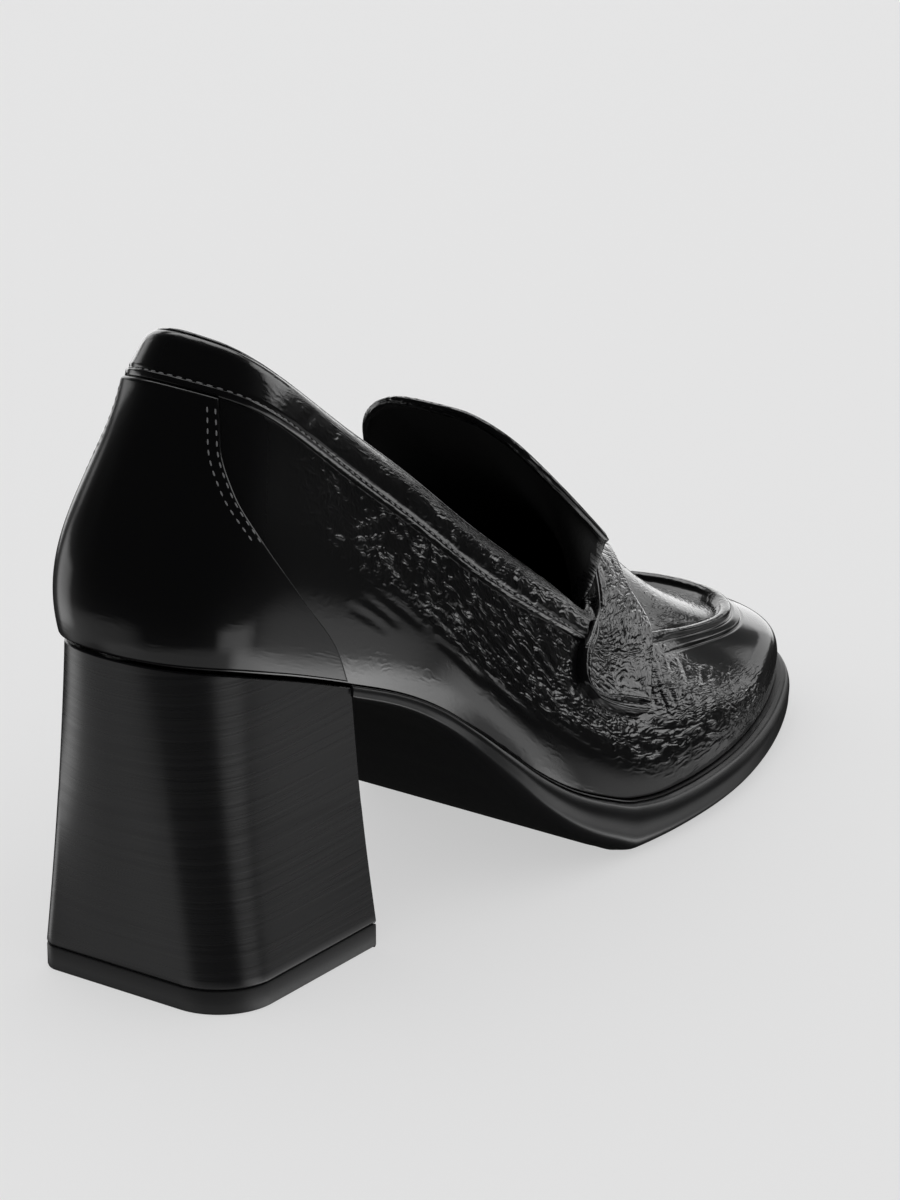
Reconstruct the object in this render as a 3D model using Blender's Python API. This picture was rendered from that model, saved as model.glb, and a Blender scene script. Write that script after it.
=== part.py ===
"""Loafer pump, right shoe, built on the form of its last.

Frame: metres, +Z up, +Y to the toe, +X to the wearer's right, which is the outer side of this shoe.
The origin is on the floor, at the centre of the heel's tread.

Every leather piece is a patch of one surface, upper_point(turn, climb). The turn runs once round the
shoe, from the middle of the back (0) over the outer side to the toe (TOE_TURN) and home over the inner
side. The climb is 0 on the lower edge of the upper, 1 on its seam line (the lower edge of the collar
band behind, the moc seam in front) and 2 on the topline and the throat.
"""

import math

import bmesh
import bpy
import numpy as np

# Driving sizes of the last
SHOE_LENGTH = 0.2420        # back of the upper to the toe
BACK_OVERHANG = 0.0365      # back of the upper behind the centre of the heel's tread
SEAT_WIDTH = 0.0480         # lower edge of the upper, at the heel
BALL_WIDTH = 0.0770         # lower edge of the upper, at the ball
HEEL_HEIGHT = 0.0810        # floor to the lower edge of the upper, at the back
FOREPART_HEIGHT = 0.0108    # floor to the lower edge of the upper, at the ball
TOE_SPRING = 0.0042         # rise of the tread at the toe
COLLAR_RISE = 0.0708        # topline above the lower edge, at the back
INSTEP_RISE = 0.0608        # throat above the lower edge, in the middle
TOE_RISE = 0.0172           # moc seam above the lower edge, at the toe

# Leather
WALL = 0.0018               # upper, leather and lining
BAND_WIDTH = 0.0112         # collar band, measured down the wall
BAND_THICKNESS = 0.0014
COUNTER_THICKNESS = 0.0010
STRAP_THICKNESS = 0.0016
STRAP_LIFT = 0.0009         # front edge of the strap, raised to pass over the moc seam
TONGUE_THICKNESS = 0.0020
TONGUE_LENGTH = 0.0498      # throat to the top of the tongue, in the middle
TONGUE_TUCK = 0.0080        # tongue under the vamp
TONGUE_CLEARANCE = 0.0008   # between the tongue and the vamp's lining
SEAM_WIDTH = 0.0048         # rolled rim of the moc seam
SEAM_HEIGHT = 0.0018
APRON_SINK = 0.0008
INSOLE_THICKNESS = 0.0025

# Sole and heel
SOLE_MARGIN = 0.0012        # top of the sole outside the upper, at the forefoot
SOLE_BULGE = 0.0034         # widest line of the sole outside the upper, at the forefoot
SOLE_EDGE_RADIUS = 0.0062   # rounding between the side and the tread
HEEL_FLARE = 0.0050         # how much wider the heel's tread is than the seat
HEEL_TREAD_LENGTH = 0.0510
OUTER_CORNER_RADIUS = 0.0140  # of the heel's tread, at its back
INNER_CORNER_RADIUS = 0.0045
HEEL_WAIST = 0.0006         # hollow of the heel block's sides
HEEL_MARGIN = 0.0004        # heel block outside the upper, at its top
LIFT_HEIGHT = 0.0056
GAP = 0.0003                # between pieces that touch

# Shares and counts of the form
WAIST_SPAN = (0.30, 0.56)   # where the tables' breadth grows from the seat's to the ball's
BAND_PUFF = 0.45            # how much thinner the band is at its edges
WALL_START = 0.40           # length of the wall's handles, as shares of its height
WALL_END = 0.38
BREAST_TURN = 4.0           # station of the heel breast
BAND_END = (8.22, 8.84)     # turns where the collar band is cut off, on its lower and its upper edge
SOLE_THIN = 0.0040          # sole thickness at which its side starts to swell
SOLE_FULL = 0.0095          # sole thickness at which its side is fully swollen
SOLE_LEAN = 0.25            # swell that is left where the sole is thin
EDGE_LIMIT = 0.6            # largest rounding of the sole's edge, as a share of its thickness
TONGUE_HALF_TURN = 4.60     # half width of the tongue, in turns
TONGUE_PITCH = 44.5         # slope of the instep, in degrees
TONGUE_ARCH = 0.97          # how much shorter the tongue is at its sides
TONGUE_SQUARE = 4.6         # how square its top is
TONGUE_FLATTEN = 0.78       # how much of its arch the tongue has lost at its top
TONGUE_SPREAD = 0.12        # how much wider than the throat it is at its top
TONGUE_SHIFT = 0.0013       # how far its top leans to the outer side
RIM_FADE = (0.725, 0.778)   # turn from the back, as a share, where the moc seam rises under the strap
SINK_FADE = (0.35, 0.75)    # share of the apron over which it rises back to the throat
TURN_STEP = 0.03            # steps that directions on the surface are measured over
CLIMB_STEP = 0.02
SPANS_PER_STATION = 3
STATIONS = 14               # from the back to the toe, on one side
TOE_TURN = float(STATIONS)
FULL_TURN = 2.0 * STATIONS
WALL_ROWS = (0.0, 0.10, 0.22, 0.36, 0.50, 0.64, 0.78, 0.91)
CROWN_ROWS = (0.10, 0.30, 0.50, 0.75, 1.0)
COUNTER_FOOT = 0.010        # climb of the counter's lower and upper edge
COUNTER_HEAD = 0.985
COUNTER_COLUMNS = 31
BAND_COLUMNS = 57
BAND_ROWS = 5
STRAP_COLUMNS = 19          # from one end to the crown
STRAP_ROWS = 7
TONGUE_COLUMNS = 21
TONGUE_ROWS = 8
HEEL_COLUMNS = 19
HEEL_LEVELS = 7
MERGE = 0.000001
SMOOTH_ANGLE = math.radians(38.0)

# Cross-section of the moc seam: place across it and height, as shares of its width and height, and
# below zero where the sunk apron starts.
RIM_SHAPE = (
    # across, height
    (0.00, 0.00),
    (0.22, 0.90),
    (0.62, 1.00),
    (1.00, -1.00),
)

# Side of the sole: how far out as a share of its swell, how far down, and how much of the edge's
# rounding is taken off.
SOLE_ROWS = (
    # outwards, down, rounding
    (0.00, 0.00, 0.00),
    (0.62, 0.12, 0.00),
    (1.00, 0.38, 0.00),
    (0.92, 0.66, 0.00),
    (0.92, 0.90, 0.32),
    (0.92, 1.00, 1.00),
)

# Height of the lower edge and of the tread. The columns are the place along the shoe as a share of its
# length, the lower edge as a share of the heel's lift over the forepart, the tread as a share of that
# lift, and the share of the toe spring.
PROFILE = (
    # along, edge, tread, spring
    (0.000, 1.006, 1.110, 0.00),
    (0.070, 0.950, 1.054, 0.00),
    (0.126, 0.886, 0.988, 0.00),
    (0.193, 0.798, 0.899, 0.00),
    (0.234, 0.740, 0.840, 0.00),
    (0.316, 0.616, 0.708, 0.00),
    (0.358, 0.530, 0.606, 0.00),
    (0.387, 0.448, 0.506, 0.00),
    (0.419, 0.343, 0.372, 0.00),
    (0.452, 0.240, 0.240, 0.00),
    (0.490, 0.150, 0.132, 0.00),
    (0.531, 0.083, 0.052, 0.00),
    (0.570, 0.034, 0.000, 0.00),
    (0.624, 0.006, 0.000, 0.00),
    (0.686, 0.000, 0.000, 0.00),
    (0.840, 0.000, 0.000, 0.00),
    (0.930, 0.000, 0.000, 0.38),
    (1.020, 0.000, 0.000, 1.00),
)

# Lower edge of the upper in plan, from the back to the toe. Widths are shares of the local breadth.
# Lean is how far the wall starts outwards, and pitch how steeply it reaches the seam line.
LOWER_EDGE = (
    # station, along, outer, inner, lean, pitch
    ("back", 0.019, 0.000, 0.000, 0.26, 78.0),
    ("back corner", 0.034, 0.295, 0.275, 0.26, 78.0),
    ("heel corner", 0.078, 0.462, 0.435, 0.24, 79.0),
    ("heel side", 0.142, 0.500, 0.480, 0.22, 80.0),
    ("breast", 0.234, 0.496, 0.486, 0.24, 80.0),
    ("rear waist", 0.316, 0.513, 0.466, 0.24, 80.0),
    ("waist", 0.387, 0.524, 0.416, 0.22, 79.0),
    ("front waist", 0.452, 0.540, 0.395, 0.16, 78.0),
    ("joint", 0.531, 0.538, 0.402, 0.10, 76.0),
    ("ball", 0.624, 0.560, 0.428, 0.08, 70.0),
    ("forepart", 0.735, 0.539, 0.442, 0.08, 60.0),
    ("toe side", 0.842, 0.448, 0.409, 0.10, 48.0),
    ("toe corner", 0.934, 0.318, 0.325, 0.14, 38.0),
    ("toe front", 0.979, 0.170, 0.190, 0.16, 32.0),
    ("toe", 0.992, 0.000, 0.000, 0.16, 30.0),
)

# Topline from the back to the strap. Rise is a share of COLLAR_RISE above the lower edge, and band of
# BAND_WIDTH. Flare is how far the seam line stands out below the topline, in band widths, and dip how
# much flatter than the straight line the band starts, in degrees.
COLLAR_LINE = (
    # station, along, outer, inner, rise, band, flare, dip
    ("back", 0.126, 0.000, 0.000, 1.000, 0.84, 0.38, 26.0),
    ("back corner", 0.131, 0.120, 0.120, 0.994, 0.86, 0.36, 26.0),
    ("heel corner", 0.149, 0.240, 0.235, 0.975, 0.93, 0.30, 22.0),
    ("heel side", 0.192, 0.322, 0.317, 0.915, 0.98, 0.20, 12.0),
    ("breast", 0.264, 0.369, 0.365, 0.810, 1.00, 0.14, 4.0),
    ("rear waist", 0.338, 0.421, 0.410, 0.722, 1.00, 0.13, 0.0),
    ("waist", 0.404, 0.407, 0.390, 0.702, 1.00, 0.13, 0.0),
    ("front waist", 0.465, 0.378, 0.370, 0.717, 1.00, 0.13, 0.0),
    ("joint", 0.526, 0.354, 0.360, 0.671, 1.00, 0.13, 0.0),
)

# Throat under the strap. Rise is a share of INSTEP_RISE. Dip is how far the apron starts flatter than
# the straight line from the seam to the throat, in degrees.
THROAT_LINE = (
    # station, along, outer, inner, rise, dip
    ("ball", 0.580, 0.357, 0.372, 0.683, 0.0),
    ("forepart", 0.607, 0.305, 0.335, 0.745, 0.0),
    ("toe side", 0.628, 0.240, 0.275, 0.852, 6.0),
    ("toe corner", 0.642, 0.143, 0.190, 0.954, 13.0),
    ("toe front", 0.647, 0.058, 0.108, 0.993, 19.0),
    ("toe", 0.649, -0.025, 0.000, 1.000, 21.0),
)

# Moc seam from under the strap to the toe. Rise is a share of TOE_RISE above the lower edge.
RIM_LINE = (
    # station, along, outer, inner, rise
    ("ball", 0.589, 0.403, 0.370, 1.900),
    ("forepart", 0.655, 0.403, 0.365, 1.760),
    ("toe side", 0.742, 0.338, 0.330, 1.440),
    ("toe corner", 0.838, 0.306, 0.306, 1.200),
    ("toe front", 0.903, 0.190, 0.200, 1.050),
    ("toe", 0.924, 0.000, 0.000, 1.000),
)

# Edges of the saddle strap, from its outer end to the crown, as turns and climbs of the upper's surface.
STRAP_EDGES = (
    # place, rear turn, rear climb, front turn, front climb
    ("tip", 8.15, 0.62, 9.02, 0.54),
    ("end", 7.97, 0.74, 9.20, 0.60),
    ("side", 8.17, 0.92, 9.62, 0.80),
    ("seam", 8.45, 1.10, 10.35, 1.12),
    ("corner", 8.80, 1.66, 10.75, 1.36),
    ("shoulder", 10.05, 1.99, 11.10, 1.62),
    ("crown side", 12.00, 2.01, 12.25, 1.72),
    ("crown", 14.00, 2.02, 14.00, 1.74),
)

# Front edge of the counter, as turns at equal steps of climb from the sole to the collar band.
COUNTER_EDGE = (3.95, 3.62, 2.98, 2.24, 1.70, 1.45, 1.42)


def clear_scene():
    """Remove every object that the scene holds."""
    for item in list(bpy.data.objects):
        bpy.data.objects.remove(item, do_unlink=True)


def column(table, index):
    """One column of a table as an array."""
    return np.array([row[index] for row in table])


def ease(value, low, high):
    """Smooth step from 0 at low to 1 at high."""
    share = np.clip((value - low) / (high - low), 0.0, 1.0)
    return share * share * (3.0 - 2.0 * share)


def monotone(x, xs, ys):
    """Monotone cubic through the points xs, ys: flat stretches stay flat, and nothing overshoots."""
    step = np.diff(xs)
    slope = np.diff(ys) / step
    same = slope[:-1] * slope[1:] > 0.0
    weight_a = 2.0 * step[1:] + step[:-1]
    weight_b = step[1:] + 2.0 * step[:-1]
    safe_a = np.where(same, slope[:-1], 1.0)
    safe_b = np.where(same, slope[1:], 1.0)
    mean = (weight_a + weight_b) / (weight_a / safe_a + weight_b / safe_b)
    tangent = np.concatenate([slope[:1], np.where(same, mean, 0.0), slope[-1:]])
    span = np.clip(np.searchsorted(xs, x) - 1, 0, len(step) - 1)
    share = np.clip((x - xs[span]) / step[span], 0.0, 1.0)
    square = share * share
    cube = square * share
    return ((2.0 * cube - 3.0 * square + 1.0) * ys[span]
            + (cube - 2.0 * square + share) * step[span] * tangent[span]
            + (3.0 * square - 2.0 * cube) * ys[span + 1]
            + (cube - square) * step[span] * tangent[span + 1])


def closed_spline(knots, turn):
    """Smooth closed curve through the knots, one for each whole turn, read at the given turns."""
    count = len(knots)
    rows = np.arange(count)
    matrix = np.zeros((count, count))
    matrix[rows, rows] = 4.0
    matrix[rows, (rows + 1) % count] = 1.0
    matrix[rows, (rows - 1) % count] = 1.0
    ahead = np.roll(knots, -1, axis=0)
    behind = np.roll(knots, 1, axis=0)
    bend = np.linalg.solve(matrix, 6.0 * (ahead - 2.0 * knots + behind))
    place = np.mod(turn, count)
    start = np.minimum(np.floor(place).astype(int), count - 1)
    end = (start + 1) % count
    share = (place - start)[..., None]
    rest = 1.0 - share
    return (rest * knots[start] + share * knots[end]
            + ((rest ** 3 - rest) * bend[start] + (share ** 3 - share) * bend[end]) / 6.0)


def bezier(start, first, second, end, share):
    """Cubic curve between start and end, with its two handles."""
    rest = 1.0 - share
    return (rest ** 3 * start + 3.0 * rest ** 2 * share * first
            + 3.0 * rest * share ** 2 * second + share ** 3 * end)


def along_y(along):
    """Place along the shoe, from its share of the length."""
    return along * SHOE_LENGTH - BACK_OVERHANG


def breadth(along):
    """Local width that the tables' widths are shares of: the seat's behind and the ball's in front."""
    return SEAT_WIDTH + (BALL_WIDTH - SEAT_WIDTH) * ease(along, *WAIST_SPAN)


def profile(y, index):
    """One column of the profile at a place along the shoe."""
    along = (y + BACK_OVERHANG) / SHOE_LENGTH
    return monotone(along, column(PROFILE, 0), column(PROFILE, index))


def edge_height(y):
    """Height of the upper's lower edge."""
    lift = HEEL_HEIGHT - FOREPART_HEIGHT
    return FOREPART_HEIGHT + profile(y, 1) * lift + profile(y, 3) * TOE_SPRING


def tread_height(y):
    """Height of the sole's underside."""
    lift = HEEL_HEIGHT - FOREPART_HEIGHT
    return profile(y, 2) * lift + profile(y, 3) * TOE_SPRING


def ring(values):
    """Values of the stations from the back to the toe, and home over the inner side."""
    return np.concatenate([values, values[-2:0:-1]])


def ring_plan(rows):
    """Knots in plan once round the shoe, from rows of station, along, outer width and inner width."""
    along = column(rows, 1)
    width = breadth(along)
    outer = column(rows, 2) * width
    inner = -column(rows, 3) * width
    x = np.concatenate([outer, inner[-2:0:-1]])
    return np.stack([x, ring(along_y(along))], axis=1)


def raised(plan, rise):
    """Knots in plan, lifted above the lower edge of the upper by their rise."""
    return np.column_stack([plan, edge_height(plan[:, 1]) + rise])


def last_knots():
    """Knots of the lower edge, the seam line and the topline."""
    edge = raised(ring_plan(LOWER_EDGE), 0.0)
    collar_rise = column(COLLAR_LINE, 4) * COLLAR_RISE
    throat_rise = column(THROAT_LINE, 4) * INSTEP_RISE
    top = raised(ring_plan(COLLAR_LINE + THROAT_LINE), ring(np.concatenate([collar_rise, throat_rise])))
    down = edge - top
    down /= np.linalg.norm(down, axis=1)[:, None]
    behind = len(COLLAR_LINE)
    in_front = np.zeros(len(THROAT_LINE))
    width = BAND_WIDTH * ring(np.concatenate([column(COLLAR_LINE, 5), in_front]))
    flare = ring(np.concatenate([column(COLLAR_LINE, 6), in_front]))
    band = top + width[:, None] * (down + flare[:, None] * outward(np.arange(FULL_TURN)))
    rim_rise = np.concatenate([collar_rise, column(RIM_LINE, 4) * TOE_RISE])
    rim = raised(ring_plan(COLLAR_LINE + RIM_LINE), ring(rim_rise))
    seam = np.where(ring(np.arange(STATIONS + 1) >= behind)[:, None], rim, band)
    return edge, seam, top


def outward(turn):
    """Outward direction of the lower edge in plan."""
    plan = ring_plan(LOWER_EDGE)
    ahead = closed_spline(plan, turn + TURN_STEP) - closed_spline(plan, turn - TURN_STEP)
    across = np.stack([ahead[..., 1], -ahead[..., 0], np.zeros(ahead.shape[:-1])], axis=-1)
    return across / np.linalg.norm(across, axis=-1)[..., None]


def station_value(values, turn):
    """A station's value, smoothly between the stations."""
    return closed_spline(ring(values)[:, None], turn)


def upper_point(turn, climb):
    """Outer surface of the upper: a curve with two handles from the lower edge to the seam line, and a
    second one from there to the topline, on which the apron starts flatter than it ends."""
    turn, climb = np.broadcast_arrays(np.asarray(turn, float), np.asarray(climb, float))
    edge_knots, seam_knots, top_knots = last_knots()
    edge = closed_spline(edge_knots, turn)
    edge[..., 2] = edge_height(edge[..., 1])
    seam = closed_spline(seam_knots, turn)
    top = closed_spline(top_knots, turn)
    up = np.array([0.0, 0.0, 1.0])
    out = outward(turn)
    lean = station_value(column(LOWER_EDGE, 4), turn)
    pitch = np.radians(station_value(column(LOWER_EDGE, 5), turn))
    reach = np.linalg.norm(seam - edge, axis=-1)[..., None]
    first = edge + WALL_START * reach * (up + lean * out)
    second = seam - WALL_END * reach * (np.sin(pitch) * up - np.cos(pitch) * out)
    share = np.clip(climb, 0.0, 1.0)[..., None]
    wall = bezier(edge, first, second, seam, share)
    dips = np.concatenate([column(COLLAR_LINE, 7), column(THROAT_LINE, 5)])
    dip = np.radians(station_value(dips, turn))
    chord = top - seam
    flat = chord * np.array([1.0, 1.0, 0.0])
    run = np.linalg.norm(flat, axis=-1)[..., None]
    slope = np.arctan2(chord[..., 2:3], run)
    third = np.linalg.norm(chord, axis=-1)[..., None] / 3.0
    leave = flat / run * np.cos(slope - dip) + up * np.sin(slope - dip)
    arrive = flat / run * np.cos(slope + dip / 3.0) + up * np.sin(slope + dip / 3.0)
    share = np.maximum(climb - 1.0, 0.0)[..., None]
    crown = bezier(seam, seam + third * leave, top - third * arrive, top, share)
    return np.where(climb[..., None] <= 1.0, wall, crown)


def upper_normal(turn, climb):
    """Outward direction of the upper's surface."""
    round_shoe = upper_point(turn + TURN_STEP, climb) - upper_point(turn - TURN_STEP, climb)
    upwards = upper_point(turn, climb + CLIMB_STEP) - upper_point(turn, np.maximum(climb - CLIMB_STEP, 0.0))
    across = np.cross(round_shoe, upwards)
    return across / np.linalg.norm(across, axis=-1)[..., None]


def leather(turn, climb, proud):
    """Point that stands proud of the upper's outer surface, or below it where proud is negative."""
    turn, climb, proud = np.broadcast_arrays(np.asarray(turn, float), climb, proud)
    return upper_point(turn, climb) + proud[..., None] * upper_normal(turn, climb)


def grid_normal(grid):
    """Direction across a grid of points: turns run along the first axis and climbs along the second."""
    across = np.cross(np.gradient(grid, axis=0), np.gradient(grid, axis=1))
    return across / np.linalg.norm(across, axis=-1)[..., None]


def material(name, color, roughness, coat):
    """Principled material of one piece."""
    made = bpy.data.materials.new(name)
    made.use_nodes = True
    shader = made.node_tree.nodes["Principled BSDF"]
    shader.inputs["Base Color"].default_value = (*color, 1.0)
    shader.inputs["Roughness"].default_value = roughness
    shader.inputs["Coat Weight"].default_value = coat
    return made


def make_object(name, points, faces, finish):
    """One closed body: doubled points are merged and the faces turned outwards."""
    mesh = bpy.data.meshes.new(name)
    mesh.from_pydata(points.tolist(), [], faces)
    body = bmesh.new()
    body.from_mesh(mesh)
    bmesh.ops.remove_doubles(body, verts=body.verts, dist=MERGE)
    bmesh.ops.recalc_face_normals(body, faces=body.faces)
    bmesh.ops.triangulate(body, faces=body.faces)
    body.to_mesh(mesh)
    body.free()
    mesh.shade_smooth()
    mesh.set_sharp_from_angle(angle=SMOOTH_ANGLE)
    mesh.materials.append(finish)
    made = bpy.data.objects.new(name, mesh)
    bpy.context.collection.objects.link(made)
    return made


def tube_faces(count, sides, closed):
    """Faces between neighbouring sections of a tube: count sections of so many sides each."""
    faces = []
    for i in range(count if closed else count - 1):
        ahead = (i + 1) % count
        for k in range(sides):
            side = (k + 1) % sides
            faces.append((i * sides + k, ahead * sides + k, ahead * sides + side, i * sides + side))
    return faces


def end_faces(first, sides):
    """Strip that closes an end section, whose first half faces its second half."""
    return [(first + k, first + k + 1, first + sides - 2 - k, first + sides - 1 - k)
            for k in range(sides // 2 - 1)]


def loft(name, sections, finish):
    """Solid through sections whose second half runs back along the first."""
    count, sides = sections.shape[:2]
    faces = tube_faces(count, sides, False)
    faces += end_faces(0, sides) + end_faces((count - 1) * sides, sides)
    return make_object(name, sections.reshape(-1, 3), faces, finish)


def patch(name, outer, inner, finish):
    """Solid between an outer and an inner grid, of the same rows and columns."""
    sections = np.concatenate([outer, inner[:, ::-1]], axis=1)
    return loft(name, sections, finish)


def make_upper(finish):
    """Hollow wall round the foot. Its outer side climbs from the lower edge over the seam line to the
    topline, and its inner side comes down again. In front the seam line is a rolled rim, and the apron
    inside it lies a little lower."""
    turn = np.arange(int(FULL_TURN) * SPANS_PER_STATION) / SPANS_PER_STATION
    near_toe = 1.0 - np.abs(turn - TOE_TURN)[:, None] / TOE_TURN
    rolled = ease(near_toe, *RIM_FADE)
    crown = np.linalg.norm(upper_point(turn, 2.0) - upper_point(turn, 1.0), axis=1)[:, None]
    sections = []
    for climb in WALL_ROWS:
        sections.append(leather(turn[:, None], climb, 0.0))
    for across, height in RIM_SHAPE:
        climb = 1.0 + across * SEAM_WIDTH / crown
        sink = APRON_SINK * (height < 0.0)
        sections.append(leather(turn[:, None], climb, rolled * (max(height, 0.0) * SEAM_HEIGHT - sink)))
    rim_end = RIM_SHAPE[-1][0] * SEAM_WIDTH / crown
    for share in CROWN_ROWS:
        climb = 1.0 + rim_end + (1.0 - rim_end) * share
        fade = 1.0 - ease(share, *SINK_FADE)
        sections.append(leather(turn[:, None], climb, -APRON_SINK * rolled * fade))
    lip = 0.5 * WALL
    sections.append(leather(turn[:, None], 2.0 + lip / crown, -lip))
    for share in CROWN_ROWS[::-1]:
        climb = 1.0 + rim_end + (1.0 - rim_end) * share
        fade = 1.0 - ease(share, *SINK_FADE)
        sections.append(leather(turn[:, None], climb, -WALL - APRON_SINK * rolled * fade))
    for climb in (1.0,) + WALL_ROWS[::-1]:
        sections.append(leather(turn[:, None], climb, -WALL))
    sections[-1][..., 2] = edge_height(sections[-1][..., 1])
    points = np.concatenate(sections, axis=1)
    faces = tube_faces(len(points), points.shape[1], True)
    return make_object("upper", points.reshape(-1, 3), faces, finish)


def make_counter(finish):
    """Rear panel over the quarters, between the sole and the collar band."""
    climb = np.array((COUNTER_FOOT,) + WALL_ROWS[1:] + (COUNTER_HEAD,))
    edge = monotone(climb, np.linspace(0.0, 1.0, len(COUNTER_EDGE)), np.array(COUNTER_EDGE))
    turn = np.linspace(-1.0, 1.0, COUNTER_COLUMNS)[:, None] * edge
    outer = leather(turn, climb, GAP + COUNTER_THICKNESS)
    inner = leather(turn, climb, GAP)
    return patch("counter", outer, inner, finish)


def make_collar_band(finish):
    """Padded band along the topline, from one side of the strap round the back to the other."""
    share = np.linspace(0.0, 1.0, BAND_ROWS)
    end = BAND_END[0] + (BAND_END[1] - BAND_END[0]) * share
    turn = np.linspace(-1.0, 1.0, BAND_COLUMNS)[:, None] * end
    puff = BAND_THICKNESS * (1.0 - BAND_PUFF * (1.0 - np.sin(np.pi * share)))
    outer = leather(turn, 1.0 + share, GAP + puff)
    inner = leather(turn, 1.0 + share, GAP)
    return patch("collar_band", outer, inner, finish)


def make_strap(finish):
    """Saddle strap over the vamp, from one side to the other, between its rear and its front edge."""
    places = np.arange(len(STRAP_EDGES), dtype=float)
    along = np.linspace(0.0, 1.0, STRAP_COLUMNS) * places[-1]
    rear = [monotone(along, places, column(STRAP_EDGES, k)) for k in (1, 2)]
    front = [monotone(along, places, column(STRAP_EDGES, k)) for k in (3, 4)]
    across = np.linspace(0.0, 1.0, STRAP_ROWS)
    turn = rear[0][:, None] * (1.0 - across) + front[0][:, None] * across
    climb = rear[1][:, None] * (1.0 - across) + front[1][:, None] * across
    turn = np.concatenate([turn, FULL_TURN - turn[-2::-1]])
    climb = np.concatenate([climb, climb[-2::-1]])
    stand = GAP + STRAP_LIFT * across ** 2
    outer = leather(turn, climb, stand + STRAP_THICKNESS)
    inner = leather(turn, climb, stand)
    return patch("saddle_strap", outer, inner, finish)


def make_tongue(finish):
    """Tongue: tucked under the vamp at the throat, and carried on up the instep as a rounded arch."""
    side = np.linspace(-1.0, 1.0, TONGUE_COLUMNS)[:, None]
    turn = TOE_TURN + side * TONGUE_HALF_TURN
    throat = upper_point(turn, 2.0)
    under = WALL + TONGUE_CLEARANCE
    crown = np.linalg.norm(throat - upper_point(turn, 1.0), axis=-1)
    tucked = leather(turn, 2.0 - np.array([1.0, 0.5]) * TONGUE_TUCK / crown, -under)
    slope = math.radians(TONGUE_PITCH)
    rise = np.array([0.0, -math.cos(slope), math.sin(slope)])
    facing = np.array([0.0, math.sin(slope), math.cos(slope)])
    base = throat - under * upper_normal(turn, 2.0)
    middle = base[TONGUE_COLUMNS // 2]
    drop = ((middle - base) @ facing)[..., None]
    offset = np.abs(base[..., 0] - middle[..., 0])[..., None]
    step = np.linspace(0.0, 1.0, TONGUE_ROWS)[None, :, None]
    arch = np.sqrt(1.0 - TONGUE_ARCH * (offset / offset.max()) ** TONGUE_SQUARE)
    flatten = TONGUE_FLATTEN * (1.0 - (1.0 - step) ** 2) * drop * facing
    aside = np.array([1.0, 0.0, 0.0])
    spread = (TONGUE_SPREAD * (base - middle) + TONGUE_SHIFT) * step ** 3 * aside
    free = base + TONGUE_LENGTH * arch * step * rise + flatten + spread
    outer = np.concatenate([tucked, free], axis=1)
    inner = outer - TONGUE_THICKNESS * grid_normal(outer)
    return patch("tongue", outer, inner, finish)


def edge_ring(turn, spread):
    """Lower edge of the upper in plan, moved outwards by a spread."""
    plan = closed_spline(ring_plan(LOWER_EDGE), turn)
    return plan + np.asarray(spread)[..., None] * outward(turn)[..., :2]


def make_insole(finish):
    """Insole inside the lower edge of the upper, on the seat and the sole."""
    turn = np.linspace(0.0, TOE_TURN, STATIONS * SPANS_PER_STATION + 1)
    turn = np.concatenate([turn, FULL_TURN - turn[::-1]])
    plan = edge_ring(turn, np.full(len(turn), -WALL - 2.0 * GAP))
    seat = edge_height(plan[:, 1])
    low = np.column_stack([plan, seat])
    high = np.column_stack([plan, seat + INSOLE_THICKNESS])
    return loft("insole", np.stack([low, high]), finish)


def sole_side(turn):
    """Rows of points down the side of the sole, from its top edge to its tread."""
    plan = edge_ring(turn, np.zeros(len(turn)))
    height = edge_height(plan[:, 1]) - GAP - tread_height(plan[:, 1])
    full = ease(height, SOLE_THIN, SOLE_FULL)
    swell = SOLE_LEAN + (1.0 - SOLE_LEAN) * full
    radius = np.minimum(SOLE_EDGE_RADIUS, EDGE_LIMIT * height)
    rows = []
    for outwards, down, rounding in SOLE_ROWS:
        spread = (SOLE_MARGIN + (SOLE_BULGE - SOLE_MARGIN) * outwards) * swell
        place = edge_ring(turn, spread - rounding * radius)
        top = edge_height(place[:, 1]) - GAP
        low = tread_height(place[:, 1])
        rows.append(np.column_stack([place, top + (low - top) * down]))
    return np.stack(rows, axis=1)


def make_outsole(finish):
    """Outsole from the heel breast to the toe, thin at the waist and thick in front."""
    turn = np.linspace(BREAST_TURN, TOE_TURN, int(TOE_TURN - BREAST_TURN) * SPANS_PER_STATION + 1)
    outer = sole_side(turn)
    inner = sole_side(FULL_TURN - turn)
    sections = np.concatenate([outer, inner[:, ::-1]], axis=1)
    sections[0, :, 1] = along_y(LOWER_EDGE[int(BREAST_TURN)][1]) + 2.0 * GAP
    return loft("outsole", sections, finish)


def tread_path(share, radius):
    """Half of the heel tread's outline, from the middle of its back to its front corner."""
    half = 0.5 * (SEAT_WIDTH + HEEL_FLARE)
    back = -0.5 * HEEL_TREAD_LENGTH
    straight = half - radius
    corner = 0.5 * math.pi * radius
    reach = share * (straight + corner + HEEL_TREAD_LENGTH - radius)
    angle = np.clip((reach - straight) / radius, 0.0, 0.5 * math.pi)
    x = np.minimum(reach, straight) + radius * np.sin(angle)
    y = back + radius * (1.0 - np.cos(angle)) + np.maximum(reach - straight - corner, 0.0)
    return np.column_stack([x, y])


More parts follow.
